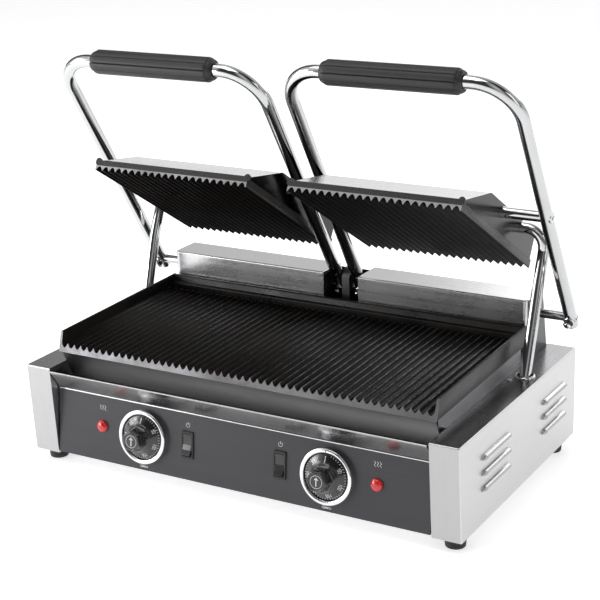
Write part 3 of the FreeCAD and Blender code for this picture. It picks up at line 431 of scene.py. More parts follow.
def sweep(bm, path, prof, closed=False, mi=0, cap=True, up=Vector((0, 0, 1)), scale=None):
    # profile carried along the path with a frame that doesn't twist
    n = len(path)
    path = [Vector(p) for p in path]
    tang = []
    for i in range(n):
        if closed:
            d = path[(i + 1) % n] - path[i - 1]
        else:
            d = path[min(i + 1, n - 1)] - path[max(i - 1, 0)]
        tang.append(d.normalized())
    nrm = up - tang[0] * up.dot(tang[0])
    if nrm.length < 1e-3:
        nrm = Vector((1, 0, 0)) - tang[0] * tang[0].x
    nrm.normalize()
    rings = []
    for i in range(n):
        if i:
            nrm = nrm - tang[i] * nrm.dot(tang[i])
            nrm.normalize()
        bi = tang[i].cross(nrm)
        k = scale[i] if scale else 1.0
        rings.append([bm.verts.new(path[i] + (nrm * u + bi * v) * k) for (u, v) in prof])
    ring_faces(bm, rings, closed, mi)
    if cap and not closed:
        for r in (rings[0][::-1], rings[-1]):
            f = bm.faces.new(r)
            f.material_index = mi
    return rings


def arc(cx, cy, r, a0, a1, n):
    return [(cx + r * math.cos(math.radians(a0 + (a1 - a0) * k / n)), cy + r * math.sin(math.radians(a0 + (a1 - a0) * k / n))) for k in range(n + 1)]


def round_loop(pts, r, n=4):
    # rounds each corner of a 2-D loop; r is one number or one per corner
    out = []
    k = len(pts)
    for i in range(k):
        p0, p1, p2 = Vector(pts[i - 1]), Vector(pts[i]), Vector(pts[(i + 1) % k])
        rr = r[i] if isinstance(r, (list, tuple)) else r
        if rr <= 0:
            out.append(tuple(p1))
            continue
        d1, d2 = (p0 - p1), (p2 - p1)
        l1, l2 = d1.length, d2.length
        d1.normalize(); d2.normalize()
        ang = math.acos(max(-1, min(1, d1.dot(d2))))
        t = min(rr / max(1e-6, math.tan(ang / 2)), l1 * 0.48, l2 * 0.48)
        a, c = p1 + d1 * t, p1 + d2 * t
        for j in range(n + 1):
            w = j / n
            out.append(tuple(a * (1 - w) ** 2 + p1 * 2 * w * (1 - w) + c * w * w))
    return out


def refine(node, mat, bevel=0.35, seg=2, ang=35, smooth=35, dissolve=0.5, pick=None, name=None):
    # the same shape as the solid, with clean faces and softened edges
    src = NODES[node]
    bm = bmesh.new()
    bm.from_mesh(src.data)
    bmesh.ops.remove_doubles(bm, verts=bm.verts, dist=2e-6)
    if dissolve:
        bmesh.ops.dissolve_limit(bm, angle_limit=math.radians(dissolve), verts=bm.verts, edges=bm.edges)
    for f in bm.faces:
        f.material_index = 0
    mats = mat if isinstance(mat, (list, tuple)) else [mat]
    if pick:
        for f in bm.faces:
            f.material_index = pick(f)
    me = bpy.data.meshes.new(name or node + "_finish")
    bm.to_mesh(me)
    bm.free()
    for mm_ in mats:
        me.materials.append(mm_)
    o = bpy.data.objects.new(name or node + "_finish", me)
    scene.collection.objects.link(o)
    if bevel:
        bevelled(o, bevel, seg, ang)
    else:
        flatten_normals(o, smooth)
    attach(o, BODY[node])
    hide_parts(node)
    return o


# ------------------------------------------------------------------
# finishes of the solids that stay as they are
# ------------------------------------------------------------------
KEEP = {
    "inner": ["bottom_panel", "plate_support_frame", "thermostat_left", "thermostat_right", "deck_panel"],
    "wool": ["lower_insulation", "upper_insulation_left", "upper_insulation_right"],
    "element": ["lower_heater_left", "lower_heater_right", "upper_heater_left", "upper_heater_right"],
    "brass": ["thermostat_spindle_left", "thermostat_spindle_right"],
    "ceramic": ["terminal_block"],
    "spring": ["counterbalance_spring_left", "counterbalance_spring_right"],
    "steel_x": ["rear_housing_cover", "back_panel"],
    "steel_y": ["left_side_housing", "right_side_housing"],
    "tray": ["drip_tray"],
    "apron": ["front_apron"],
    "panel": ["control_panel"],
    "bright": ["dial_bezels", "conduit_collars", "case_screws", "shaft_bushes", "clamp_bolts_left", "clamp_bolts_right"],
    "black_steel": ["center_bracket"],
    "cast": ["lower_grill_plate", "upper_grill_plate_left", "upper_grill_plate_right"],
    "rubber": ["feet"],
    "knob": ["temperature_knob_left", "temperature_knob_right"],
    "switch": ["switch_housing_left", "switch_housing_right", "rocker_left", "rocker_right", "cable_gland"],
    "lamp": ["indicator_lamp_left", "indicator_lamp_right"],
    "chrome": ["handle_tube_left", "handle_tube_right", "lid_shaft_left", "lid_shaft_right", "pivot_rod_left", "pivot_rod_right", "conduit_tube_left", "conduit_tube_right"],
    "grip": ["handle_grip_left", "handle_grip_right"],
    "cover": ["upper_cover_left", "upper_cover_right"],
    "cap": ["upper_side_caps_left", "upper_side_caps_right"],
}
for key, names in KEEP.items():
    for n in names:
        o = NODES[n]
        o.data.materials.clear()
        o.data.materials.append(M[key])

# ------------------------------------------------------------------
# detailed pieces
# ------------------------------------------------------------------
def at(frame_, x=0.0, y=0.0, z=0.0):
    return frame_ @ T(x, y, z)


def stroke(bm, p, q, w, zf, up=0.07, down=0.12, mi=0):
    # a printed line: thin bar between two points laid on the height function zf
    p, q = Vector(p), Vector(q)
    d = (q - p)
    if d.length < 1e-6:
        return
    d.normalize()
    n = Vector((-d.y, d.x)) * (w / 2)
    p2, q2 = p - d * (w / 2), q + d * (w / 2)
    k = max(1, int((q2 - p2).length / 1.2))
    top, bot = [], []
    for i in range(k + 1):
        c = p2.lerp(q2, i / k)
        for side in (n, -n):
            v = c + side
            z = zf(v.length)
            top.append(bm.verts.new((v.x, v.y, z + up)))
            bot.append(bm.verts.new((v.x, v.y, z - down)))
    def f(*vs):
        ff = bm.faces.new(vs)
        ff.material_index = mi
    for i in range(k):
        a, b2, c, d2 = top[2 * i], top[2 * i + 1], top[2 * i + 3], top[2 * i + 2]
        e, g, h, l = bot[2 * i], bot[2 * i + 1], bot[2 * i + 3], bot[2 * i + 2]
        f(a, b2, c, d2)
        f(e, l, h, g)
        f(a, d2, l, e)
        f(b2, g, h, c)
    f(top[0], bot[0], bot[1], top[1])
    f(top[-2], top[-1], bot[-1], bot[-2])


GLYPH = {
    "0": [[(0, 0), (1, 0), (1, 2), (0, 2), (0, 0)]],
    "1": [[(0.5, 0), (0.5, 2), (0.2, 1.6)]],
    "2": [[(0, 2), (1, 2), (1, 1.1), (0, 0), (1, 0)]],
    "3": [[(0, 2), (1, 2), (0.4, 1.1), (1, 0.9), (1, 0), (0, 0)]],
    "5": [[(1, 2), (0, 2), (0, 1.1), (1, 1.1), (1, 0), (0, 0)]],
}


def number(bm, txt, centre_r, ang, size, w, zf):
    # digits standing radially, feet toward the rim
    tot = len(txt) * 1.0 + (len(txt) - 1) * 0.55
    ca, sa = math.cos(ang), math.sin(ang)
    for i, ch in enumerate(txt):
        for line in GLYPH[ch]:
            for (u0, v0), (u1, v1) in zip(line[:-1], line[1:]):
                pts = []
                for (u, v) in ((u0, v0), (u1, v1)):
                    du = (u + i * 1.55 - tot / 2) * size * 0.5
                    dr = centre_r + (v - 1.0) * size * 0.5
                    # tangent direction runs clockwise so the digits read from outside
                    pts.append((dr * ca + du * sa, dr * sa - du * ca))
                stroke(bm, pts[0], pts[1], w, zf)


SKIRT = [(26.3, 5.0), (26.1, 5.5), (25.6, 5.9), (24.0, 6.5), (21.5, 7.5), (19.0, 8.5), (17.2, 9.6), (16.0, 10.7), (15.2, 12.0)]


def skirt_z(r):
    if r >= SKIRT[0][0]:
        return SKIRT[0][1]
    for (r1, z1), (r0, z0) in zip(SKIRT[:-1], SKIRT[1:]):
        if r0 <= r <= r1:
            return z0 + (z1 - z0) * (r - r0) / (r1 - r0)
    return SKIRT[-1][1]


def hex_ring(a, k, z, n=96, turn=0.0, lim=1.0):
    # round (k=0) to six-sided (k=1) outline of flat radius a
    out = []
    for i in range(n):
        th = 2 * math.pi * i / n
        ph = (th - turn + math.pi / 6) % (math.pi / 3) - math.pi / 6
        h = min(a / math.cos(ph), a * lim)
        r = a * 1.06 * (1 - k) + h * k
        out.append((r * math.cos(th), r * math.sin(th), z))
    return out


for s, nm in SIDES:
    K = at(PANEL, s * 123.0, 41.9)
    bm = bmesh.new()
    revolve(bm, [(27.2, 0.05), (31.5, 0.05), (31.5, 4.4), (31.9, 4.8), (32.4, 5.4), (32.45, 6.0), (32.1, 6.7), (31.4, 7.2), (30.4, 7.45), (29.3, 7.47), (28.3, 7.25), (27.6, 6.8), (27.25, 6.1), (27.2, 0.05)], 128)
    piece("dial_ring_" + nm, bm, [M["ring"]], "base", K, ["dial_bezels"] if s < 0 else ())
    bm = bmesh.new()
    stroke(bm, (0, 28.9), (0, 31.0), 0.9, lambda r: 7.42, 0.06, 0.2)
    piece("dial_index_" + nm, bm, [M["switch"]], "base", K)
    bm = bmesh.new()
    revolve(bm, [(3.1, 0.7), (24.8, 0.7), (26.0, 1.0), (26.3, 1.6)] + SKIRT + [(14.2, 12.4), (3.1, 12.4), (3.1, 0.7)], 128)
    turn = math.radians(12 if s < 0 else 30)
    rings = []
    for (a, k, z, lim) in ((15.4, 0.0, 11.4, 1.1), (14.0, 0.25, 12.6, 1.1), (12.6, 0.6, 14.2, 1.11), (11.9, 0.95, 16.4, 1.12), (11.7, 1.0, 20.0, 1.12), (11.5, 1.0, 25.2, 1.12), (11.3, 1.0, 26.3, 1.12), (10.8, 1.0, 27.0, 1.12), (10.1, 1.0, 27.3, 1.12), (9.7, 0.6, 27.35, 1.1), (9.3, 0.0, 27.2, 1.1), (9.0, 0.0, 26.9, 1.1), (0.5, 0.0, 26.85, 1.1)):
        rings.append([bm.verts.new(p) for p in hex_ring(a, k, z, 96, turn, lim)])
    ring_faces(bm, rings)
    bm.faces.new(rings[-1])
    bm.faces.new(rings[0][::-1])
    piece("temperature_knob_%s_finish" % nm, bm, [M["knob"]], "knob_" + nm, K, ["temperature_knob_" + nm], smooth=38)
    bm = bmesh.new()
    stroke(bm, (0, 17.6), (0, 23.6), 0.9, skirt_z)
    for i in range(1, 44):
        th = math.radians(90 - 8 - i * 7.4)
        long_ = i % 7 == 0
        r0 = 23.6 if long_ else 24.3
        stroke(bm, (r0 * math.cos(th), r0 * math.sin(th)), (25.5 * math.cos(th), 25.5 * math.sin(th)), 0.5 if long_ else 0.36, skirt_z)
    for i, txt in enumerate(("50", "100", "150", "200", "250", "300")):
        number(bm, txt, 20.9, math.radians(90 - 8 - (i + 1) * 7 * 7.4), 3.3, 0.42, skirt_z)
    # plain ring and pointer bar on the cap
    for i in range(40):
        a0_, a1_ = 2 * math.pi * i / 40, 2 * math.pi * (i + 1) / 40
        stroke(bm, (7.2 * math.cos(a0_), 7.2 * math.sin(a0_)), (7.2 * math.cos(a1_), 7.2 * math.sin(a1_)), 0.55, lambda r: 26.87, 0.04, 0.1)
    stroke(bm, (0, -4.6), (0, 4.6), 1.1, lambda r: 26.87, 0.05, 0.1)
    stroke(bm, (-2.0, 2.4), (0, 4.6), 0.9, lambda r: 26.87, 0.05, 0.1)
    stroke(bm, (2.0, 2.4), (0, 4.6), 0.9, lambda r: 26.87, 0.05, 0.1)
    piece("temperature_knob_%s_marks" % nm, bm, [M["mark"]], "knob_" + nm, K)

    # lamp lens
    L = at(PANEL, s * 183.5, 43.4)
    bm = bmesh.new()
    prof = [(4.2, -15.8), (4.2, -2.0), (6.9, -0.02), (7.3, 0.1), (7.38, 0.6)]
    for i in range(1, 12):
        a = math.radians(90.0 * i / 12)
        prof.append((7.38 * math.cos(a) ** 0.9, 0.6 + 4.65 * math.sin(a)))
    prof.append((0, 5.27))
    revolve(bm, [(0, -15.8)] + prof, 64)
    piece("indicator_lamp_%s_lens" % nm, bm, [M["lamp"]], BODY["indicator_lamp_" + nm], L, ["indicator_lamp_" + nm], smooth=50)

    # panel symbols: power symbol over the switch, heat waves over the lamp, thermometer under the dial
    bm = bmesh.new()
    flat = lambda r: 0.0
    cx, cy = s * 61.8, 66.2
    for i in range(18):
        a0_, a1_ = math.radians(125 + 290 * i / 18), math.radians(125 + 290 * (i + 1) / 18)
        stroke(bm, (cx + 2.6 * math.cos(a0_), cy + 2.6 * math.sin(a0_)), (cx + 2.6 * math.cos(a1_), cy + 2.6 * math.sin(a1_)), 0.55, flat, 0.05, 0.1)
    stroke(bm, (cx, cy + 0.2), (cx, cy + 3.3), 0.55, flat, 0.05, 0.1)
    cx, cy = s * 183.5, 66.4
    for dx in (-3.4, 0.0, 3.4):
        for i in range(8):
            v0, v1 = -2.8 + 5.6 * i / 8, -2.8 + 5.6 * (i + 1) / 8
            stroke(bm, (cx + dx + 0.9 * math.sin(v0 * 1.6), cy + v0), (cx + dx + 0.9 * math.sin(v1 * 1.6), cy + v1), 0.5, flat, 0.05, 0.1)
    cx, cy = s * 123.0, 4.6
    for i in range(16):
        a0_, a1_ = 2 * math.pi * i / 16, 2 * math.pi * (i + 1) / 16
        stroke(bm, (cx - 4.4 + 1.5 * math.cos(a0_), cy + 1.5 * math.sin(a0_)), (cx - 4.4 + 1.5 * math.cos(a1_), cy + 1.5 * math.sin(a1_)), 0.5, flat, 0.05, 0.1)
    stroke(bm, (cx - 2.9, cy + 0.7), (cx + 5.0, cy + 0.7), 0.45, flat, 0.05, 0.1)
    stroke(bm, (cx - 2.9, cy - 0.7), (cx + 5.0, cy - 0.7), 0.45, flat, 0.05, 0.1)
    stroke(bm, (cx - 4.4, cy), (cx + 1.5, cy), 0.6, flat, 0.05, 0.1)
    stroke(bm, (cx + 5.0, cy + 0.7), (cx + 5.0, cy - 0.7), 0.45, flat, 0.05, 0.1)
    piece("panel_symbols_" + nm, bm, [M["mark"]], "base", PANEL)
    refine("switch_housing_" + nm, M["switch"], 0.3, 2, 30, 32)
    refine("rocker_" + nm, M["rocker"], 0.35, 3, 30, 40)

# bright hem along the top of the control panel
bm = bmesh.new()
PHT = 80.8 / math.cos(math.radians(6.36))
extrude(bm, round_loop([(PHT - 1.25, -0.1), (PHT - 1.25, 0.45), (PHT - 0.05, 0.45), (PHT - 0.05, -0.1)], 0.3, 3), -248.2, 248.2, "x")
piece("panel_hem", bm, [M["bright"]], "base", PANEL)

# lower casting
VAL, TIP, PW, PX = 5.4, 10.6, 24.0, 250.0


def scallop(x0, count, pitch, tip, valley):
    pts = []
    for k in range(count):
        xa = x0 + k * pitch
        for f in (0.035, 0.075, 0.13, 0.20, 0.28, 0.36, 0.43, 0.5, 0.57, 0.64, 0.72, 0.80, 0.87, 0.925, 0.965):
            u = min(1.0, abs(f - 0.5) / 0.465)
            h = u ** 2.1 * (1.0 if u < 0.86 else 1.0 - 0.04 * (u - 0.86) / 0.14)
            pts.append((xa + f * pitch, valley + (tip - valley) * h))
    return pts


row = scallop(-247.0, 52, 9.5, TIP, VAL)
outline = [(-PX, 1.2), (-PX + 1.0, 0.05), (PX - 1.0, 0.05), (PX, 1.2), (PX, PW - 1.0), (PX - 0.4, PW - 0.35), (PX - 1.0, PW - 0.05), (PX - 2.0, PW - 0.05), (PX - 2.6, PW - 0.4), (PX - 2.9, PW - 1.1)] + row[::-1] + \
          [(-PX + 2.9, PW - 1.1), (-PX + 2.6, PW - 0.4), (-PX + 2.0, PW - 0.05), (-PX + 1.0, PW - 0.05), (-PX + 0.4, PW - 0.35), (-PX, PW - 1.0)]
bm = bmesh.new()
va = [bm.verts.new((x, 7.3 * z / 24.0 + 0.02, z)) for (x, z) in outline]
vm = [bm.verts.new((x, 7.3 * z / 24.0 + 0.5, z)) for (x, z) in outline]
drop = lambda z, h: z if z > 12.0 or z < 3.0 else VAL + (z - VAL) * h
vh = [bm.verts.new((x, 227.6, z)) for (x, z) in outline]
vc = [bm.verts.new((x, 230.4, z)) for (x, z) in outline]
vd = [bm.verts.new((x, 232.0, drop(z, 0.82))) for (x, z) in outline]
ve = [bm.verts.new((x, 233.4, drop(z, 0.10))) for (x, z) in outline]
vb = [bm.verts.new((x, 246.8, drop(z, 0.10))) for (x, z) in outline]
n = len(outline)
for k in range(n):
    k2 = (k + 1) % n
    side = abs(outline[k][0]) > PX - 0.5 and abs(outline[k2][0]) > PX - 0.5 and outline[k][0] * outline[k2][0] > 0
    f = bm.faces.new((va[k], va[k2], vm[k2], vm[k]))
    f.material_index = 1
    rib = 3.0 < outline[k][1] < 12.0
    crest = rib and outline[k][1] > TIP - 1.75 and outline[k2][1] > TIP - 1.75 and outline[k2][1] < 12.0
    high = rib and outline[k][1] > VAL + 2.2 and outline[k2][1] < 12.0
    # index 3 carries the painted sheen on the crests, index 4 a painted glint on the rib ends
    for (ra_, rb_, mi_) in ((vm, vh, 3 if crest else 0), (vh, vc, 4 if crest else 0), (vc, vd, 4 if high else 0), (vd, ve, 4 if high else 0), (ve, vb, 0)):
        f = bm.faces.new((ra_[k], ra_[k2], rb_[k2], rb_[k]))
        f.material_index = 2 if side else mi_
f = bm.faces.new(va)
f.material_index = 1
f = bm.faces.new(vb[::-1])
f.material_index = 2
extrude(bm, round_loop([(237.5, 0.2), (237.5, 13.5), (238.4, 14.8), (241.4, 15.6), (242.5, PW - 1.6), (243.8, PW - 0.42), (246.6, PW - 0.42), (247.4, PW - 1.2), (247.4, 0.2)], [0, 0.6, 0.6, 0.8, 0.6, 0.6, 0.5, 0.5, 0], 3), -PX + 0.4, PX - 0.4, "x", mi=0)
piece("lower_casting", bm, [M["cast"], M["cut"], M["cast_side"], M["tip"], M["glint"]], "base", LOWER, ["lower_grill_plate"], smooth=40)

# upper castings, covers and caps
U0, UW, UD = 26.0, 213.0, 228.0
for s, nm in SIDES:
    xa, xb = (U0, U0 + UW) if s > 0 else (-U0 - UW, -U0)
    pt_ = (UW - 1.6) / 22
    row = scallop(xa + 0.8, 22, pt_, 0.0, 5.2)
    out = [(xa, 0.9), (xa + 0.35, 0.3)] + row + [(xb - 0.35, 0.3), (xb, 0.9), (xb, 6.3), (xb, 10.4), (xb - 0.6, 11.0), (xa + 0.6, 11.0), (xa, 10.4), (xa, 6.3)]
    bm = bmesh.new()
    va = [bm.verts.new((x, 0.04, z)) for (x, z) in out]
    vm = [bm.verts.new((x, 0.45, z)) for (x, z) in out]
    vb = [bm.verts.new((x, UD - 0.04, z)) for (x, z) in out]
    n = len(out)
    for k in range(n):
        k2 = (k + 1) % n
        f = bm.faces.new((va[k], va[k2], vm[k2], vm[k]))
        f.material_index = 1
        f = bm.faces.new((vm[k], vm[k2], vb[k2], vb[k]))
        side = abs(out[k][0] - out[k2][0]) < 1e-6 and (abs(out[k][0] - xa) < 1e-6 or abs(out[k][0] - xb) < 1e-6)
        f.material_index = 2 if side else 0
    f = bm.faces.new(va[:-5] + [va[-1]])
    f.material_index = 1
    f = bm.faces.new(va[-6:])
    f.material_index = 2
    f = bm.faces.new(vb[::-1])
    f.material_index = 0
    extrude(bm, round_loop([(0.06, 10.2), (2.95, 10.2), (2.95, 13.35), (0.06, 13.35)], 0.5, 3), xa + 0.05, xb - 0.05, "x", mi=2)
    for xc in (xa + 1.5, xb - 1.5):
        ear = [(xc - 3.6, 8.0), (xc + 3.6, 8.0), (xc + 3.9, 10.0), (xc + 3.9, 12.8), (xc + 2.9, 14.9), (xc + 1.2, 16.0), (xc - 1.2, 16.0), (xc - 2.9, 14.9), (xc - 3.9, 12.8), (xc - 3.9, 10.0)]
        extrude(bm, round_loop(ear, 0.9, 3), 0.32, 3.18, "y", mi=2)
    piece("upper_casting_" + nm, bm, [M["cast_up"], M["cut_up"], M["cast_side"]], "upper_" + nm, UPPER[nm], ["upper_grill_plate_" + nm], smooth=40)
    refine("upper_cover_" + nm, M["cover"], 0.4, 3, 30, 32)
    refine("upper_side_caps_" + nm, M["cap"], 0.3, 2, 40, 32, 0.5)

# lid frames
for s, nm in SIDES:
    xi, xo, top, bend = s * 14.4, s * 292.0, 355.0, 48.0
    path, sc = [], []
    for (yy, k) in ((-14.15, 0.05), (-14.1, 0.45), (-13.9, 0.70), (-13.2, 0.90), (-12.2, 0.985), (-11.0, 1.0)):
        path.append((xi, yy, 0)); sc.append(k)
    for i in range(1, 9):
        path.append((xi, -11.0 + (top - bend + 11.0) * i / 8, 0)); sc.append(1.0)
    for i in range(1, 25):
        a = math.radians(90.0 * i / 24)
        path.append((xi + s * bend * (1 - math.cos(a)), top - bend + bend * math.sin(a), 0)); sc.append(1.0)
    for i in range(1, 7):
        path.append((xi + s * bend + (xo - xi - 2 * s * bend) * i / 6, top, 0)); sc.append(1.0)
    for i in range(1, 25):
        a = math.radians(90.0 * i / 24)
        path.append((xo - s * bend + s * bend * math.sin(a), top - bend + bend * math.cos(a), 0)); sc.append(1.0)
    for i in range(1, 9):
        path.append((xo, top - bend - (top - bend + 11.0) * i / 8, 0)); sc.append(1.0)
    for (yy, k) in ((-12.2, 0.985), (-13.2, 0.90), (-13.9, 0.70), (-14.1, 0.45), (-14.15, 0.05)):
        path.append((xo, yy, 0)); sc.append(k)
    bm = bmesh.new()
    sweep(bm, path, circle(7.75, 40), scale=sc)
    # the swept tube, then pin heads where the cross rod and the shaft are pinned
    piece("lid_frame_" + nm, bm, [M["chrome"]], "lid_" + nm, ARM[nm], ["handle_tube_" + nm], smooth=60)
    bm = bmesh.new()
    for yy in (165.78, 0.0):
        off = T(xo + s * 7.3, yy, 0) @ RY(90 * s)
        revolve(bm, [(0, -1.2), (2.7, -1.2), (2.7, 0.22), (2.4, 0.36), (1.6, 0.40), (0, 0.40)], 32, off)
    piece("lid_frame_pins_" + nm, bm, [M["bolt"]], "lid_" + nm, ARM[nm], smooth=35)

    # cross rod and shaft
    for (node, xs, xe, yy, r) in (("pivot_rod_", 7.3, 299.5, 165.78, 6.5), ("lid_shaft_", 0.7, 299.3, 0.0, 5.5)):
        bm = bmesh.new()
        x0_, x1_ = (xs, xe) if s > 0 else (-xe, -xs)
        prof = [(0, 0), (r - 0.9, 0), (r - 0.2, 0.3), (r, 0.9)]
        L_ = x1_ - x0_
        prof += [(r, L_ * k / 6) for k in range(1, 6)] + [(r, L_ - 0.9), (r - 0.2, L_ - 0.3), (r - 0.9, L_), (0, L_)]
        revolve(bm, prof, 48, T(x0_, yy, 0) @ RY(90))
        piece(node + nm + "_finish", bm, [M["chrome"] if node[0] == "p" else M["shaft"]], "lid_" + nm, ARM[nm], [node + nm], smooth=50)

    # ribbed grip
    ga, gb = (68.0, 236.0) if s > 0 else (-236.0, -68.0)
    N = 10
    def ring(x, R, depth):
        pts = []
        for k in range(N):
            for (fa, fr) in ((-0.42, 0.965), (-0.38, 0.988), (-0.26, 0.997), (-0.13, 1.0), (0.0, 1.001), (0.13, 1.0), (0.26, 0.997), (0.38, 0.988), (0.42, 0.965), (0.455, 0.918), (0.5, 0.90), (0.545, 0.918)):
                a = 2 * math.pi * (k + fa) / N
                rr = R * (1 - (1 - fr) * depth)
                pts.append(bm.verts.new((x, 355.0 + rr * math.cos(a), rr * math.sin(a))))
        return pts
    bm = bmesh.new()
    prof = [(0.4, 7.80, 0), (0.2, 10.2, 0), (0.0, 10.8, 0), (0.1, 11.3, 0), (1.6, 12.2, 0), (3.6, 12.9, 0), (4.6, 13.1, 0.1), (5.0, 13.6, 0.7), (5.5, 14.15, 0.95), (6.3, 14.42, 1.0), (8.0, 14.48, 1.0)]
    full = [(ga + d, r, k) for (d, r, k) in prof] + [(ga + (gb - ga) * i / 8, 14.48, 1.0) for i in range(1, 8)] + [(gb - d, r, k) for (d, r, k) in prof[::-1]]
    ring_faces(bm, [ring(x, r, k) for (x, r, k) in full])
    piece("grip_%s_finish" % nm, bm, [M["grip"]], "lid_" + nm, ARM[nm], ["handle_grip_" + nm], smooth=38)

    # clamp bolts on both arms
    bm = bmesh.new()
    for xx in (s * 14.4, s * 292.0):
        off = T(xx, 0, 0)
        revolve(bm, [(0, 7.3), (5.9, 7.3), (6.35, 7.7), (6.4, 8.5), (6.0, 9.0), (0, 9.0)], 40, off, 1)
        rr = []
        for (k, z) in ((0.93, 9.0), (1.0, 9.5), (1.0, 12.7), (0.90, 13.4), (0.70, 13.5)):
            rr.append([bm.verts.new(off @ Vector((5.6 * k * math.cos(math.radians(60 * i)), 5.6 * k * math.sin(math.radians(60 * i)), z))) for i in range(6)])
        ring_faces(bm, rr, mi=0)
        f = bm.faces.new(rr[-1]); f.material_index = 0
        f = bm.faces.new(rr[0][::-1]); f.material_index = 0
        revolve(bm, [(4.35, 13.2), (4.35, 13.9), (4.1, 14.6), (3.4, 15.2), (2.2, 15.5), (0, 15.58)], 40, off, 1)
    piece("clamp_bolts_%s_finish" % nm, bm, [M["bolt"], M["bright"]], "lid_" + nm, ARM[nm], ["clamp_bolts_" + nm], smooth=35)

# conduits: the way out of the cap, a close bend and the leg down through the deck
CU, CW, RA, RU = 177.4, 35.6, 110.4, 33.3
END = {}
for s, nm in SIDES:
    a0_, tilt = ARM_ANGLE[nm], TILT[nm]
    ry, rz = RODYZ[nm]

    def passing(t):
        th = (a0_ - 3.6958) * t
        ph = math.radians((tilt + 1.2) * t)
        a = math.radians(a0_ - th)
        dy = 221.0 - (SY - ROD * math.cos(a))
        dz = 126.0 - (SZ + ROD * math.sin(a))
        return (dy * math.cos(ph) + dz * math.sin(ph) + ry, -dy * math.sin(ph) + dz * math.cos(ph) + rz)

    def loc(p):
        c, sn = math.cos(math.radians(tilt)), math.sin(math.radians(tilt))
        dy, dz = p[0] - ry, p[1] - rz
        return (dy * c - dz * sn + RA, dy * sn + dz * c + RU)
    X = s * 267.0
    end = passing(1.02)
    h3 = loc((end[0] + 16.2, end[1] + 39.5))
    low = [loc(passing(1.02 - 1.07 * i / 20)) for i in range(21)]
    corner = Vector((X, CU, CW))
    leg = Vector((0, h3[0] - CU, h3[1] - CW)).normalized()
    rad = 21.0
    cen = corner + Vector((-s * rad, 0, 0)) + leg * rad
    path = [Vector((s * 233.0, CU, CW)), Vector((s * 240.0, CU, CW))]
    e1, e2 = -leg, Vector((s, 0, 0))
    for i in range(17):
        a = math.radians(90.0 * i / 16)
        path.append(cen + e1 * rad * math.cos(a) + e2 * rad * math.sin(a))
    pb = path[-1]
    P3, P2 = Vector((X, h3[0], h3[1])), Vector((X, low[0][0], low[0][1]))
    t2 = (Vector((X, low[1][0], low[1][1])) - P2).normalized()
    tm = (P2 - pb).normalized()
    for (A_, B_, ta, tb) in ((pb, P3, leg, tm), (P3, P2, tm, t2)):
        L_ = (B_ - A_).length
        for i in range(1, 13):
            t = i / 12
            path.append(A_ * (2 * t ** 3 - 3 * t * t + 1) + ta * L_ * (t ** 3 - 2 * t * t + t) + B_ * (-2 * t ** 3 + 3 * t * t) + tb * L_ * (t ** 3 - t * t))
    for p in low[1:]:
        path.append(Vector((X, p[0], p[1])))
    bm = bmesh.new()
    sweep(bm, path, circle(6.8, 40), up=leg)
    piece("conduit_%s_finish" % nm, bm, [M["chrome"]], "upper_" + nm, UPPER[nm], ["conduit_tube_" + nm], smooth=60)

# collars, feet
bm = bmesh.new()
for s in (-1, 1):
    revolve(bm, [(9.25, -5.4), (10.15, -5.4), (10.15, 0.1), (12.1, 0.1), (12.2, 0.5), (12.0, 1.2), (11.5, 2.0), (10.7, 2.6), (9.9, 2.75), (9.4, 2.5), (9.25, 2.0), (9.25, -5.4)], 64, T(s * 267.0, 221.0, 126.0))
piece("conduit_collars_finish", bm, [M["bright"]], "base", BASE, ["conduit_collars"], smooth=45)
bm = bmesh.new()
for fx in (-1, 1):
    for fy in (28.0, 309.0):
        revolve(bm, [(0, 0.0), (9.6, 0.0), (10.6, 0.25), (11.3, 1.0), (11.6, 3.0), (11.75, 5.0), (11.5, 5.4), (11.5, 6.0), (11.9, 6.4), (12.4, 13.2), (12.45, 16.1), (0, 16.15)], 64, T(fx * 268.0, fy, 0))
piece("feet_finish", bm, [M["rubber"]], "base", BASE, ["feet"], smooth=35)

# sheet-metal pieces with softened edges
# picks the top strip and the pillar fronts, which carry painted shade
def housing_shade_pick(f):
    if f.normal.z > 0.9 and f.calc_center_median().z > 0.12:
        return 1
    return 2 if f.normal.y < -0.9 else 0


for nm in ("left", "right"):
    refine(nm + "_side_housing", [M["steel_side"], M["steel_strip_painted_shade"], M["steel_pillar_painted_shade"]], 0.45, 2, 40, 34, pick=housing_shade_pick)
refine("rear_housing_cover", [M["steel_x"], M["end_plate"]], 0.4, 2, 40, 34, pick=lambda f: 1 if abs(f.normal.x) > 0.8 and abs(f.calc_center_median().x) > 0.245 else 0)
refine("control_panel", M["panel"], 0.3, 2, 40, 34)
refine("drip_tray", M["tray"], 0.2, 2, 40, 34)
refine("front_apron", M["apron"], 0.25, 2, 40, 34)
refine("center_bracket", M["black_steel"], 0.3, 2, 40, 34)
refine("cable_gland", M["switch"], 0.3, 2, 40, 34)

# ------------------------------------------------------------------
# floor, light, camera
# ------------------------------------------------------------------
bm = bmesh.new()
g = 24
vs = [[bm.verts.new(((i / g - 0.5) * 60, (j / g - 0.5) * 60, 0.0)) for j in range(g + 1)] for i in range(g + 1)]
for i in range(g):
    for j in range(g):
        bm.faces.new((vs[i][j], vs[i + 1][j], vs[i + 1][j + 1], vs[i][j + 1]))
me = bpy.data.meshes.new("studio_floor")
bm.to_mesh(me)
bm.free()
floor = bpy.data.objects.new("studio_floor", me)
scene.collection.objects.link(floor)
m, nt, b = new_mat("studio_floor")
n1 = noise(nt, (3, 3, 3), 3.0, 0.5)
nt.links.new(mix_col(nt, ramp(nt, n1, 0.3, 0.7), (0.90, 0.90, 0.90), (0.915, 0.915, 0.915)), b.inputs["Base Color"])
b.inputs["Roughness"].default_value = 0.7
b.inputs["Specular IOR Level"].default_value = 0.2
b.inputs["Emission Color"].default_value = (1, 1, 1, 1)
b.inputs["Emission Strength"].default_value = 0.57
me.materials.append(m)

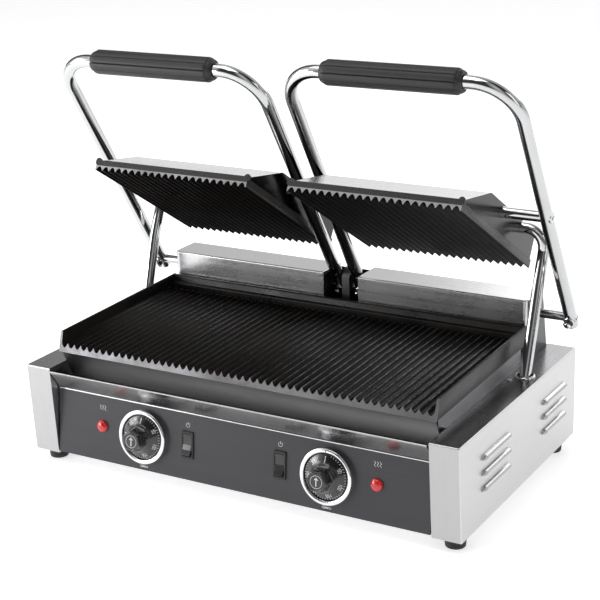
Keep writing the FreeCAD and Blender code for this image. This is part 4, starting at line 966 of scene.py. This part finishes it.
world = bpy.data.worlds.new("studio")
scene.world = world
world.use_nodes = True
nt = world.node_tree
nt.nodes.clear()
out = nt.nodes.new("ShaderNodeOutputWorld")
bg = nt.nodes.new("ShaderNodeBackground")
bgc = nt.nodes.new("ShaderNodeBackground")
mx = nt.nodes.new("ShaderNodeMixShader")
lp = nt.nodes.new("ShaderNodeLightPath")
tc = nt.nodes.new("ShaderNodeTexCoord")
sp = nt.nodes.new("ShaderNodeSeparateXYZ")
cr = nt.nodes.new("ShaderNodeValToRGB")
nt.links.new(tc.outputs["Generated"], sp.inputs[0])
nt.links.new(sp.outputs["Z"], cr.inputs[0])
el = cr.color_ramp.elements
el[0].position, el[0].color = 0.0, (1.0, 1.0, 1.0, 1)
el[1].position, el[1].color = 1.0, (0.55, 0.55, 0.55, 1)
for pos, v in ((0.16, 1.0), (0.24, 0.62), (0.36, 1.0), (0.66, 1.0), (0.84, 0.6)):
    e = el.new(pos)
    e.color = (v, v, v, 1)
neg = math_node(nt, "MULTIPLY", sp.outputs["Y"], -1.0)
ang = math_node(nt, "ARCTAN2", sp.outputs["X"], neg)
turn = math_node(nt, "ADD", math_node(nt, "MULTIPLY", ang, 0.15915494), 0.5)
cz = nt.nodes.new("ShaderNodeValToRGB")
nt.links.new(turn, cz.inputs[0])
el = cz.color_ramp.elements
el[0].position, el[0].color = 0.0, (1.05, 1.05, 1.05, 1)
el[1].position, el[1].color = 1.0, (1.05, 1.05, 1.05, 1)
for pos, v in ((0.10, 1.05), (0.145, 0.06), (0.205, 0.06), (0.235, 0.95), (0.39, 1.0), (0.425, 0.08), (0.53, 0.06), (0.56, 0.45), (0.60, 0.85), (0.64, 0.40), (0.67, 0.05), (0.775, 0.05), (0.80, 0.75), (0.87, 0.8)):
    e = el.new(pos)
    e.color = (v, v, v, 1)
mz = nt.nodes.new("ShaderNodeMix")
mz.data_type = "RGBA"
mz.blend_type = "MULTIPLY"
mz.inputs[0].default_value = 1.0
nt.links.new(cr.outputs[0], mz.inputs[6])
nt.links.new(cz.outputs[0], mz.inputs[7])
nt.links.new(mz.outputs[2], bg.inputs[0])
bg.inputs[1].default_value = 0.85
bgc.inputs[0].default_value = (1, 1, 1, 1)
bgc.inputs[1].default_value = 1.0
nt.links.new(lp.outputs["Is Camera Ray"], mx.inputs[0])
nt.links.new(bg.outputs[0], mx.inputs[1])
nt.links.new(bgc.outputs[0], mx.inputs[2])
nt.links.new(mx.outputs[0], out.inputs[0])


def area(name, loc, target, size, size_y, power):
    l = bpy.data.lights.new(name, "AREA")
    l.shape = "RECTANGLE"
    l.size, l.size_y = size, size_y
    l.energy = power
    o = bpy.data.objects.new(name, l)
    scene.collection.objects.link(o)
    o.location = loc
    d = Vector(target) - Vector(loc)
    o.rotation_mode = "QUATERNION"
    o.rotation_quaternion = d.to_track_quat("-Z", "Y")
    o.visible_camera = False
    return o


area("key_top", (-0.5, -0.6, 2.6), (0, 0, 0.1), 2.2, 1.6, 26)
area("fill_left", (-2.4, -1.2, 1.0), (-0.2, 0, 0.15), 1.4, 1.4, 26)
area("fill_right", (2.6, -0.4, 1.2), (0, 0, 0.15), 1.0, 1.6, 7)
area("front_left", (-1.15, -1.25, 0.34), (-0.27, -0.17, 0.07), 0.7, 0.5, 7)
area("rear", (0.3, 2.6, 1.5), (0, 0, 0.2), 2.6, 0.9, 14)

cam = bpy.data.cameras.new("camera")
co = bpy.data.objects.new("camera", cam)
scene.collection.objects.link(co)
scene.camera = co
az, el_, ro = math.radians(30.25), math.radians(17.10), math.radians(-1.60)
back = Vector((math.sin(az) * math.cos(el_), -math.cos(az) * math.cos(el_), math.sin(el_)))
fwd = -back
right = fwd.cross(Vector((0, 0, 1))).normalized()
up = right.cross(fwd)
r2 = right * math.cos(ro) + up * math.sin(ro)
u2 = -right * math.sin(ro) + up * math.cos(ro)
mt = Matrix((r2, u2, back)).transposed().to_4x4()
mt.translation = Vector((0.88978, -1.49984, 0.77052))
co.matrix_world = mt
cam.sensor_width = 36.0
cam.lens = 1542.16 / 600 * 36.0
cam.shift_x = (300 - 308.54) / 600
cam.shift_y = (270.55 - 300) / 600
cam.clip_start, cam.clip_end = 0.05, 100

scene.view_settings.view_transform = "Standard"
scene.view_settings.look = "None"
